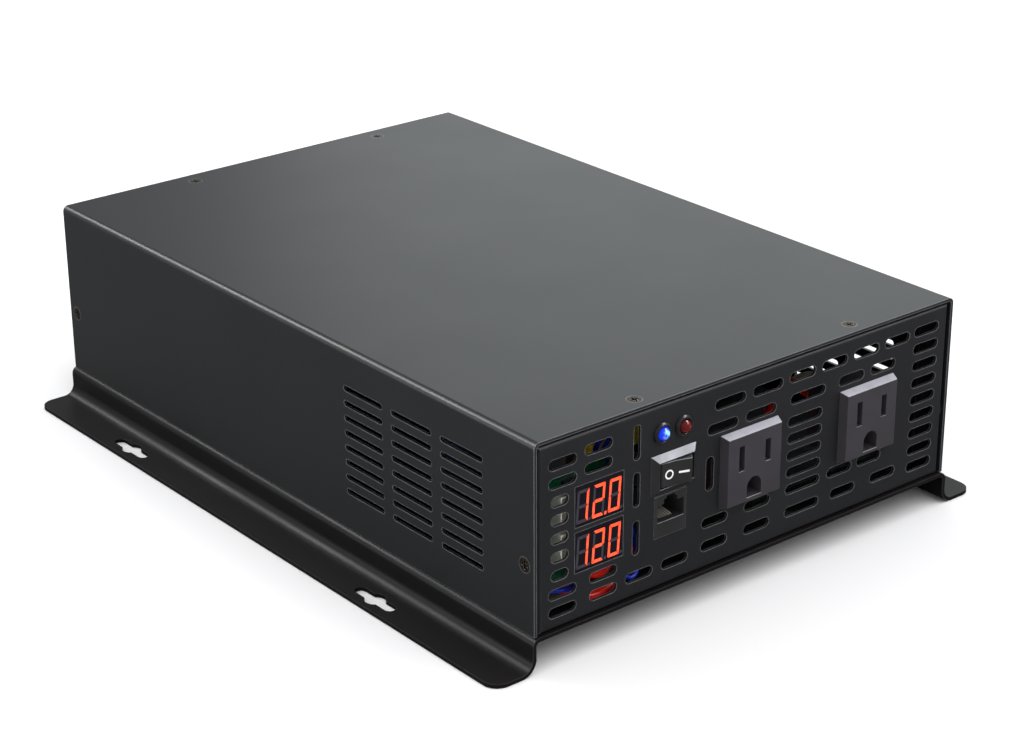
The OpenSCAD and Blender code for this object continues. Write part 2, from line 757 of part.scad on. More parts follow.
// Screws of a clamp bar, between the packages; x runs into the heat sink
module at_clamp_screws() {
  for (k = [1, package_count - 1])
    translate([sink_x, package_y(k) - (package_pitch - package_w) / 2, board_top + package_z + 13]) children();
}

clamp_t = 2.5;

module clamp_bar() {
  difference() {
    box_at([sink_x - package_d - clamp_t, sink_x - package_d],
      [package_y(0), package_y(package_count - 1) + package_w],
      [board_top + package_z + 8, board_top + package_z + 18]);
    at_clamp_screws() translate([-20, 0, 0]) cylinder_x(m3_r + slip, 20);
  }
}

module transistor_clamps() on_case() color("#8d9093") for (s = [0, 1]) mirror([s, 0, 0]) clamp_bar();

module clamp_screws() on_case() color("#b9b9b5") for (s = [0, 1]) mirror([s, 0, 0]) at_clamp_screws()
  translate([-package_d - clamp_t, 0, 0]) rotate([0, -90, 0]) pan_screw(m3_r, 2.8, 2, package_d + clamp_t + 3);

// Transformers: two-part ferrite core round a taped winding, coil axis along Y
core_w = 42;
core_h = 42;
core_d = 20;
leg_w = 12;
window_w = 9;
window_h = 30;
transformer_at = [[-34, 48], [-26, 150], [30, 150]];

module at_transformers() { for (p = transformer_at) translate([p[0], p[1], board_top]) children(); }

// The core stands on its winding's bobbin feet; legs upright
module ferrite_core() {
  translate([0, 0, 3]) difference() {
    translate([-core_w / 2, -core_d / 2, 0]) cube([core_w, core_d, core_h]);
    for (s = [-1, 1]) translate([s * (leg_w + window_w) / 2 - window_w / 2, -core_d / 2 - cut, (core_h - window_h) / 2])
      cube([window_w, core_d + 2 * cut, window_h]);
  }
}

module winding() {
  w = leg_w + 2 * window_w - 0.8;
  z0 = 3 + (core_h - window_h) / 2 + 0.3;
  difference() {
    union() {
      translate([-w / 2, -core_d / 2 - 7, z0]) cube([w, core_d + 14, window_h - 0.6]);
      for (s = [-1, 1]) translate([-w / 2, s * (core_d / 2 + 4.5) - 2.5, 0]) cube([w, 5, z0 + 0.01]);
    }
    translate([-leg_w / 2 - 0.3, -core_d / 2 - 0.3, z0 - 0.2]) cube([leg_w + 0.6, core_d + 0.6, window_h]);
    translate([-w / 2 - cut, -core_d / 2 - 0.3, -cut]) cube([w + 2 * cut, core_d + 0.6, z0 + cut]);
  }
}

module transformer_cores() on_case() color("#3a3a3d") at_transformers() ferrite_core();

module transformer_windings() on_case() color("#d9a520") at_transformers() winding();

// Output choke: ring core inside a closed copper winding, lying on the board
choke_at = [18, 98];
choke_r = 19;
choke_section = 11;
choke_wire = 1.8;

module ring(r, section, grow) {
  rotate_extrude() translate([r - section / 2 - grow, 0]) square([section + 2 * grow, section * 1.2 + 2 * grow]);
}

module choke_core() on_case() color("#c9b23a")
  translate([choke_at[0], choke_at[1], board_top + choke_wire + 0.1]) ring(choke_r, choke_section, 0);

module choke_winding() on_case() color("#a4562a") translate([choke_at[0], choke_at[1], board_top]) difference() {
  ring(choke_r, choke_section, choke_wire + 0.1);
  translate([0, 0, choke_wire]) ring(choke_r, choke_section, 0.1);
}

module capacitor(r, h) {
  difference() {
    cylinder(r = r, h = h);
    translate([0, 0, h - 0.6]) cylinder(r = r - 1.2, h = cut);
  }
}

module input_capacitors() on_case() color("#23262b")
  for (i = [-2.5 : 1 : 2.5], j = [0, 1]) translate([i * 19, case_d - 98 + j * 19, board_top]) capacitor(8, 32);

module bus_capacitors() on_case() color("#2a3d52")
  for (i = [-1, 1]) translate([-38 + i * 15, 100, board_top]) capacitor(12.5, 42);

module blade_fuses() on_case() color("#c8741e")
  for (k = [0 : 4]) translate([-40 + k * 20 - 6, case_d - 62, board_top]) {
    cube([12, 8, 5]);
    translate([0.5, 2, 4.99]) cube([11, 4, 9]);
  }

module alarm_buzzer() on_case() color("#17181a") translate([34, 42, board_top]) difference() {
  cylinder(r = 6, h = 9);
  translate([0, 0, 8]) cylinder(r = 1.2, h = 2);
}

/* ---------- fans ---------- */

// Built along Z with the outer face at z = 0 and the fan's body below it
module fan_shell() {
  difference() {
    translate([-fan_w / 2, -fan_w / 2, -fan_d]) cube([fan_w, fan_w, fan_d]);
    translate([0, 0, -fan_d - cut]) cylinder(r = fan_bore, h = fan_d + 2 * cut);
    for (i = [-1, 1], j = [-1, 1]) translate([i * fan_holes / 2, j * fan_holes / 2, -fan_d - cut])
      cylinder(r = 2 + slip, h = fan_d + 2 * cut);
    for (a = [0, 90, 180, 270]) rotate(a)
      translate([-fan_w / 2 + 9, fan_w / 2 - 1.2, -fan_d + 3]) cube([fan_w - 18, 5, fan_d - 6]);
  }
  for (a = [45 : 90 : 315]) rotate(a)
    translate([fan_hub - 1, -1.5, -fan_d]) cube([fan_bore - fan_hub + 2, 3, 3]);
  difference() {
    union() {
      translate([0, 0, -fan_d]) cylinder(r = fan_hub, h = 3);
      translate([0, 0, -fan_d]) cylinder(r = 3, h = fan_d - rotor_in - 3.5);
    }
    translate([0, 0, -fan_d + 2]) cylinder(r = m3_r + slip, h = fan_d);
  }
}

module fan_frame(s) {
  translate([s * fan_x, fan_y, fan_z]) rotate([-90, 0, 0]) fan_shell();
}

module fan_frame_left() on_case() color("#18191a") fan_frame(-1);

module fan_frame_right() on_case() color("#18191a") fan_frame(1);

// Rotor: cup, seven slanted blades and a shaft, on the same frame as fan_shell
module rotor() {
  translate([0, 0, -rotor_in - rotor_d]) {
    intersection() {
      cylinder(r = fan_bore - blade_gap, h = rotor_d);
      for (k = [0 : 6]) rotate(k * 360 / 7) translate([fan_hub - 1, 0, rotor_d / 2]) rotate([38, 0, 0])
        translate([0, -0.7, -rotor_d]) cube([fan_bore, 1.4, 2 * rotor_d]);
    }
    difference() {
      cylinder(r = fan_hub, h = rotor_d);
      translate([0, 0, -cut]) cylinder(r = fan_hub - 1.5, h = rotor_d - 1.5 + cut);
    }
  }
  translate([0, 0, -fan_d + 2.5]) cylinder(r = m3_r, h = fan_d - rotor_in - 3);
}

module fan_rotor(s) {
  translate([s * fan_x, fan_y, fan_z]) rotate([-90, 0, 0]) rotor();
}

module fan_rotor_left() on_case() color("#1f2022") fan_rotor(-1);

module fan_rotor_right() on_case() color("#1f2022") fan_rotor(1);

module fan_stators() on_case() color("#9a5a2c") at_fans() rotate([-90, 0, 0]) translate([0, 0, -fan_d + 3.3])
  difference() {
    cylinder(r = fan_hub - 2.3, h = 9);
    translate([0, 0, -cut]) cylinder(r = 3 + slip, h = 9 + 2 * cut);
  }

guard_w = 1.8;
guard_t = 1.6;
guard_off = 2.6;                      // clear height between the panel and the guard
guard_eye_r = 3.8;

// Finger guard: rings on two crossed bars that end in four raised eyes
module fan_guard() {
  difference() {
    union() {
      translate([0, 0, guard_off]) linear_extrude(guard_t) {
        for (r = [8, 15, 22, 28.5]) difference() {
          circle(r = r + guard_w / 2);
          circle(r = r - guard_w / 2);
        }
        for (a = [45, 135]) rotate(a) square([fan_holes * sqrt(2), guard_w], center = true);
      }
      for (i = [-1, 1], j = [-1, 1]) translate([i * fan_holes / 2, j * fan_holes / 2, 0])
        cylinder(r = guard_eye_r, h = guard_off + guard_t);
    }
    for (i = [-1, 1], j = [-1, 1]) translate([i * fan_holes / 2, j * fan_holes / 2, -cut])
      cylinder(r = 2 + slip, h = 10);
  }
}

module fan_guards() on_case() color("#b4b6b8") at_fans() translate([0, panel_t, 0]) rotate([-90, 0, 0]) fan_guard();

module fan_screws() on_case() color("#2a2420") at_fans() at_fan_holes()
  translate([0, panel_t + guard_off + guard_t, 0]) rotate([-90, 0, 0])
    pan_screw(2, 3.6, 2.2, guard_off + guard_t + panel_t + fan_d - 5);

/* ---------- battery studs ---------- */

stud_r = stud_dia / 2;
stud_collar_r = stud_r + 2.5;
base_out = 6;                         // insulator outside the panel
base_in = 5;                          // insulator inside the panel
bar_t = 2;
nut_h = 6.5;
nut_r = stud_r * 1.85;
tip_l = 9;
stud_y = fan_y + panel_t;             // outer plane of the rear panel

module stud(s) {
  in_l = base_in + panel_t + bar_t + nut_h + 3;
  translate([s * stud_spacing / 2, stud_y, stud_z]) {
    translate([0, -in_l, 0]) cylinder_y(stud_r, in_l + stud_reach - tip_l - 1);
    translate([0, stud_reach - tip_l - 1.01, 0]) cylinder_y(stud_r - 0.7, 1.02);
    translate([0, stud_reach - tip_l, 0]) cylinder_y(stud_r, tip_l);
  }
}

module stud_positive() on_case() color("#c8a65a") stud(1);

module stud_negative() on_case() color("#c8a65a") stud(-1);

// Insulator: square pad outside, collar through the panel and a ring inside
module stud_base(s) {
  translate([s * stud_spacing / 2, stud_y, stud_z]) difference() {
    union() {
      translate([-12, 0, -12]) cube([24, base_out, 24]);
      translate([0, -panel_t, 0]) cylinder_y(stud_collar_r, panel_t + 0.01);
      translate([0, -panel_t - base_in, 0]) cylinder_y(11, base_in);
    }
    translate([0, -20, 0]) cylinder_y(stud_r + slip, 40);
  }
}

module stud_base_positive() on_case() color("#b01818") stud_base(1);

module stud_base_negative() on_case() color("#151515") stud_base(-1);

module nut() {
  rotate([-90, 0, 0]) difference() {
    union() {
      cylinder(r = nut_r, h = nut_h, $fn = 6);
      cylinder(r = nut_r + 1.5, h = 1.6);
    }
    translate([0, 0, -cut]) cylinder(r = stud_r + slip, h = nut_h + 2 * cut);
  }
}

module stud_nuts() on_case() color("#c9c9c6") for (s = [-1, 1]) translate([s * stud_spacing / 2, stud_y, stud_z]) {
  translate([0, base_out, 0]) nut();
  translate([0, -panel_t - base_in - bar_t - nut_h, 0]) translate([0, nut_h, 0]) mirror([0, 1, 0]) nut();
}

// Copper bars from the studs down to the main board
module bus_bars() on_case() color("#b87333") for (s = [-1, 1]) {
  x = s * stud_spacing / 2;
  y = stud_y - panel_t - base_in - bar_t;
  foot_y = board_y + board_d - 12;
  difference() {
    box_at([x - 8, x + 8], [y, y + bar_t], [board_top, stud_z + 9]);
    translate([x, y - cut, stud_z]) cylinder_y(stud_r + slip, bar_t + 2 * cut);
  }
  box_at([x - 8, x + 8], [foot_y, y + 0.01], [board_top, board_top + bar_t]);
}

module ground_screw() on_case() color("#c9a34e") translate([0, case_d - 30, base_h]) {
  difference() {
    cylinder(r = 4, h = 3, $fn = 6);
    translate([-3, -0.4, 2]) cube([6, 0.8, 2]);
  }
  translate([0, 0, -base_t - 1]) cylinder(r = 2, h = base_t + 1.01);
}

/* ---------- wires ---------- */

// Smooth route through hand-set points: Catmull-Rom, n steps a span
function knot(p, i) = p[max(0, min(len(p) - 1, i))];
function blend(a, b, c, d, t) =
  0.5 * (2 * b + (c - a) * t + (2 * a - 5 * b + 4 * c - d) * t * t + (3 * b - a - 3 * c + d) * t * t * t);
function route(p, n) = concat(
  [for (i = [0 : len(p) - 2], k = [0 : n - 1])
    blend(knot(p, i - 1), p[i], p[i + 1], knot(p, i + 2), k / n)],
  [p[len(p) - 1]]);
function unit(v) = v / norm(v);

// Tube of eight sides through points p, with steps rings a span. Its ends are square to the
// first and last span; lay is a direction that the route never follows
module tube(p, steps, r, lay) {
  q = route(p, steps);
  n = len(q);
  last = len(p) - 1;
  headings = concat([unit(p[1] - p[0])], [for (i = [1 : n - 2]) unit(q[i + 1] - q[i - 1])],
    [unit(p[last] - p[last - 1])]);
  rings = [for (i = [0 : n - 1], k = [0 : 7])
    let (h = headings[i], a = unit(cross(h, lay)), b = cross(h, a))
      q[i] + r * (cos(k * 45) * a + sin(k * 45) * b)];
  sides = [for (i = [0 : n - 2], k = [0 : 7])
    [i * 8 + k, i * 8 + (k + 1) % 8, (i + 1) * 8 + (k + 1) % 8, (i + 1) * 8 + k]];
  caps = [[for (k = [0 : 7]) 7 - k], [for (k = [0 : 7]) (n - 1) * 8 + k]];
  polyhedron(points = rings, faces = concat(caps, sides));
}

live_r = 2;
neutral_r = 1.5;
signal_r = 1;

// Mains feed, from the board round its front edge to the outlets' left tabs
live_routes = [
  [[-74, 31, 21.1], [-74, 31, 26], [-73, 17, 27], [-67, 8.5, 23.4], [-54, 14, 26.5], [-16, 27, 42],
    [-9.2, 31, 53.1], [-9.2, 23.3, 53.1]],
  [[-84, 30, 21.1], [-84, 30, 25], [-84, 16, 26], [-76, 7.5, 17.8], [-60, 7.5, 17.6], [-46, 13, 25],
    [0, 26, 31], [44, 38, 40], [50, 33, 53.1], [50, 23.3, 53.1]]
];
neutral_routes = [
  [[10, 45, 21.1], [10, 45, 30], [5, 40, 47], [3.4, 32, 53.1], [3.4, 23.3, 53.1]],
  [[60, 50, 21.1], [60, 50, 28], [62, 44, 46], [62.6, 33, 53.1], [62.6, 23.3, 53.1]]
];
// Meter feed, switch lead, then the two lamps' leads
signal_routes = [
  [[-92, 27, 21.1], [-92, 27, 25], [-93, 12, 25.5], [-86, 6, 24], [-77, 5, 24.5], [-73, 4.4, 29.4],
    [-73, 7.5, 29.4]],
  [[-43.8, 21.3, 57], [-43.8, 26, 57], [-49.6, 21, 47], [-50, 11, 40], [-50, 7, 32], [-50, 6, 24],
    [-53, 4.4, 19], [-57, 5, 21], [-57.4, 7, 27], [-56.5, 13, 30], [-56.5, 25, 27], [-56.5, 25, 21.1]],
  [[-43.2, 12.8, 72.4], [-45, 19, 71], [-54, 20, 67], [-61, 15, 62], [-61, 9.1, 62]],
  [[-33.3, 12.8, 72.4], [-36, 22, 70], [-48, 25, 60], [-61, 16, 48], [-61, 9.1, 48]],
];
fan_route = [[37, 275.5, 30], [37, 270, 30], [37, 263, 29], [37, 259, 26], [37, 259, 21.1]];

module live_wires() on_case() color("#d01818") for (p = live_routes) tube(p, 2, live_r, [-1, 1, 1]);

module neutral_wires() on_case() color("#e8e6e0") for (p = neutral_routes) tube(p, 1, neutral_r, [1, 0, 0]);

module signal_wires() on_case() color("#1c3fc0") {
  tube(signal_routes[0], 1, signal_r, [1, 1, -1]);
  tube(signal_routes[1], 1, signal_r, [1, -1, 0.3]);
  for (k = [2, 3]) tube(signal_routes[k], 1, signal_r, [0, 0, 1]);
  for (s = [-1, 1]) tube([for (v = fan_route) [s * v[0], v[1], v[2]]], 1, signal_r, [1, 0, 0]);
}

top_cover();
base_plate();
front_panel();
rear_panel();
cover_screws();
side_screws();
base_screws();
ac_outlet_left();
ac_outlet_right();
outlet_contacts_left();
outlet_contacts_right();
rocker_housing();
rocker_button();
rocker_terminals();
led_clip_power();
led_clip_fault();
power_led();
fault_led();
dc_display();
ac_display();
meter_board();
meter_header();
meter_chips();
remote_jack();
jack_contacts();
main_board();
board_standoffs();
board_screws();
insulating_sheet();
heatsink_left();
heatsink_right();
input_transistors();
output_transistors();
transistor_clamps();
clamp_screws();
transformer_cores();
transformer_windings();
choke_core();
choke_winding();
input_capacitors();
bus_capacitors();
blade_fuses();
alarm_buzzer();
fan_frame_left();
fan_frame_right();
fan_rotor_left();
fan_rotor_right();
fan_stators();
fan_guards();
fan_screws();
stud_positive();
stud_negative();
stud_base_positive();
stud_base_negative();
stud_nuts();
bus_bars();
ground_screw();
live_wires();
neutral_wires();
signal_wires();
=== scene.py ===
import json
import math

import bmesh
import bpy
from mathutils import Matrix, Vector


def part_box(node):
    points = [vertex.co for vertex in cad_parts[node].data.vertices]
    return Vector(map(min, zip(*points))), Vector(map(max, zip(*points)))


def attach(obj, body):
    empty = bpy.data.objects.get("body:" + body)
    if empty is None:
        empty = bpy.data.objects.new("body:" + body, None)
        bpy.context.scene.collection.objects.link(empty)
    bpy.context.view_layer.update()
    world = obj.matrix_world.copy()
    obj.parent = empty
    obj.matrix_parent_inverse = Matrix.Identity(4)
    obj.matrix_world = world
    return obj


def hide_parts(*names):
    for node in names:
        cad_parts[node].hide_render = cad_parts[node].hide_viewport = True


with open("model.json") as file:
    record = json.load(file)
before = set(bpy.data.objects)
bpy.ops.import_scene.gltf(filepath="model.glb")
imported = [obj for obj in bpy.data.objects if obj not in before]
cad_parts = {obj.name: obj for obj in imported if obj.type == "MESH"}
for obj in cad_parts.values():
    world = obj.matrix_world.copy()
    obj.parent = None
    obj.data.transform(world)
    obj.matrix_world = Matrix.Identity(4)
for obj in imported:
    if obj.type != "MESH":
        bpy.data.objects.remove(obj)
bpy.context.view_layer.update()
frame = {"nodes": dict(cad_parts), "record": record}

mm = 0.001
weld = 1e-6  # vertices nearer than this, in metres, are one
slotOfNode = {part["node"]: part["material_slot"] for part in frame["record"]["subparts"]}
bodyOfNode = {node: body for body, nodes in frame["record"]["behaviour"]["bodies"].items() for node in nodes}
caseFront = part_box("top_cover")[0].y  # the cover's front edge
print("frame loaded,", len(frame["nodes"]), "nodes")


def addNode(tree, kind, inputs=None, **settings):
    made = tree.nodes.new(kind)
    for key, value in settings.items():
        setattr(made, key, value)
    for key, value in (inputs or {}).items():
        if isinstance(value, bpy.types.NodeSocket):
            tree.links.new(value, made.inputs[key])
        else:
            made.inputs[key].default_value = value
    return made


def mathNode(tree, operation, first, second=0.0, clamp=False):
    made = addNode(tree, "ShaderNodeMath", {0: first, 1: second}, operation=operation, use_clamp=clamp)
    return made.outputs[0]


def vectorNode(tree, operation, first, second=(0.0, 0.0, 0.0)):
    return addNode(tree, "ShaderNodeVectorMath", {0: first, 1: second}, operation=operation)


def spread(tree, value, fromSpan, toSpan=(0.0, 1.0)):
    spans = dict(zip(("From Min", "From Max", "To Min", "To Max"), (*fromSpan, *toSpan)))
    return addNode(tree, "ShaderNodeMapRange", {"Value": value, **spans}).outputs["Result"]


def noise(tree, place, scale, detail):
    made = addNode(tree, "ShaderNodeTexNoise", {"Vector": place, "Scale": scale, "Detail": detail})
    return made.outputs["Fac"]


def objectPlace(tree):
    return addNode(tree, "ShaderNodeTexCoord").outputs["Object"]


def startGroup(name, inputs, outputs):
    group = bpy.data.node_groups.new(name, "ShaderNodeTree")
    for socket, value in inputs.items():
        made = group.interface.new_socket(socket, in_out="INPUT", socket_type="NodeSocketFloat")
        made.default_value = value
    for socket in outputs:
        group.interface.new_socket(socket, in_out="OUTPUT", socket_type="NodeSocketFloat")
    return group, addNode(group, "NodeGroupInput").outputs, addNode(group, "NodeGroupOutput").inputs


def perMetre(tree, millimetres):  # a texture's scale from the size of one of its cells
    return mathNode(tree, "DIVIDE", 1 / mm, millimetres)


def surfaceGrain():  # fine height for bump, and a slow mottle for tone and gloss
    group, given, out = startGroup("surfaceGrain", {"Size": 1.0, "Patch": 30.0}, ["Height", "Mottle"])
    place = objectPlace(group)
    group.links.new(noise(group, place, perMetre(group, given["Size"]), 3.0), out["Height"])
    group.links.new(noise(group, place, perMetre(group, given["Patch"]), 4.0), out["Mottle"])
    return group


edgeWearAndHighlightLook = {"samples": 4, "speckle": 220.0, "strength": 9.0}


def edgeWear():  # a mask along edges: partly paint rubbed thin, partly a painted highlight where the edge would catch the light
    group, given, out = startGroup("edgeWear", {"Radius": 0.4, "Amount": 0.5}, ["Mask"])
    radius = mathNode(group, "MULTIPLY", given["Radius"], mm)
    rounded = addNode(group, "ShaderNodeBevel", {"Radius": radius}, samples=edgeWearAndHighlightLook["samples"])
    plain = addNode(group, "ShaderNodeNewGeometry")
    match = vectorNode(group, "DOT_PRODUCT", rounded.outputs["Normal"], plain.outputs["Normal"])
    edge = mathNode(group, "SUBTRACT", 1.0, match.outputs["Value"])
    broken = noise(group, objectPlace(group), edgeWearAndHighlightLook["speckle"], 3.0)
    worn = mathNode(group, "MULTIPLY", edge, broken)
    worn = mathNode(group, "MULTIPLY", worn, edgeWearAndHighlightLook["strength"], clamp=True)
    group.links.new(mathNode(group, "MULTIPLY", worn, given["Amount"]), out["Mask"])
    return group


# direction is the way the faces with the painted highlight look; full is the match at which the painted
# highlight is whole
paintedHighlightLook = {"direction": (0.0, -0.5, 0.87), "full": 0.97, "cloud": 160.0, "lift": 0.5}


def slopeBloom():  # a painted highlight: pale colour on faces that slope up and forward, where the overhead light would catch them
    group, given, out = startGroup("slopeBloom", {"From": 0.9, "Amount": 1.0}, ["Mask"])
    plain = addNode(group, "ShaderNodeNewGeometry").outputs["Normal"]
    match = vectorNode(group, "DOT_PRODUCT", plain, paintedHighlightLook["direction"]).outputs["Value"]
    rise = spread(group, match, (given["From"], paintedHighlightLook["full"]))
    cloud = noise(group, objectPlace(group), paintedHighlightLook["cloud"], 3.0)
    uneven = mathNode(group, "MULTIPLY", mathNode(group, "ADD", cloud, paintedHighlightLook["lift"]), rise)
    group.links.new(mathNode(group, "MULTIPLY", uneven, given["Amount"], clamp=True), out["Mask"])
    return group


def stretchedGrain():  # brushed, drawn or extruded metal: fine lines along one axis
    sizes = {"Width": 0.3, "LongX": 1.0, "LongY": 1.0, "LongZ": 1.0}
    group, given, out = startGroup("stretchedGrain", sizes, ["Height"])
    long = addNode(group, "ShaderNodeCombineXYZ", {axis: given["Long" + axis] for axis in "XYZ"})
    squeezed = vectorNode(group, "DIVIDE", objectPlace(group), long.outputs["Vector"])
    lines = noise(group, squeezed.outputs["Vector"], perMetre(group, given["Width"]), 2.0)
    group.links.new(lines, out["Height"])
    return group


# spans of the cells' distance at which a track's edge and a pad's edge lie
trackLook = {"edge": (0.42, 0.5), "wander": 0.9, "pad": (0.2, 0.14), "padWander": 0.3}


def boardTracks():  # copper tracks and round pads under solder mask
    group, given, out = startGroup("boardTracks", {"Pitch": 2.5}, ["Track", "Pad"])
    place = objectPlace(group)
    scale = perMetre(group, given["Pitch"])
    cells = addNode(group, "ShaderNodeTexVoronoi", {"Vector": place, "Scale": scale,
                                                    "Randomness": trackLook["wander"]}, distance="CHEBYCHEV")
    dots = addNode(group, "ShaderNodeTexVoronoi", {"Vector": place, "Scale": scale,
                                                   "Randomness": trackLook["padWander"]})
    group.links.new(spread(group, cells.outputs["Distance"], trackLook["edge"]), out["Track"])
    group.links.new(spread(group, dots.outputs["Distance"], trackLook["pad"]), out["Pad"])
    return group


groups = {"grain": surfaceGrain(), "wear": edgeWear(), "bloom": slopeBloom(), "lines": stretchedGrain(),
          "tracks": boardTracks()}
print("node groups made,", len(groups))


def placeGroup(tree, key, inputs):
    made = tree.nodes.new("ShaderNodeGroup")
    made.node_tree = groups[key]
    for name, value in inputs.items():
        made.inputs[name].default_value = value
    return made.outputs


def mixColors(tree, factor, first, second):
    made = addNode(tree, "ShaderNodeMix", data_type="RGBA")
    for socket, value in zip((made.inputs[0], made.inputs[6], made.inputs[7]), (factor, first, second)):
        if isinstance(value, bpy.types.NodeSocket):
            tree.links.new(value, socket)
        else:
            socket.default_value = value
    return made.outputs[2]


def shaded(color, factor=1.0):
    return tuple(channel * factor for channel in color) + (1.0,)


def mottled(tree, mottle, toSpan=(0.0, 1.0)):  # most of a noise lies between 0.35 and 0.65
    return spread(tree, mottle, (0.35, 0.65), toSpan)


def bumpFrom(tree, height, micrometres):
    return addNode(tree, "ShaderNodeBump", {"Height": height, "Strength": 1.0,
                                            "Distance": micrometres * 1e-6}).outputs["Normal"]


def startMaterial(name):
    made = bpy.data.materials.new(name)
    made.use_nodes = True
    return made, made.node_tree, made.node_tree.nodes["Principled BSDF"]
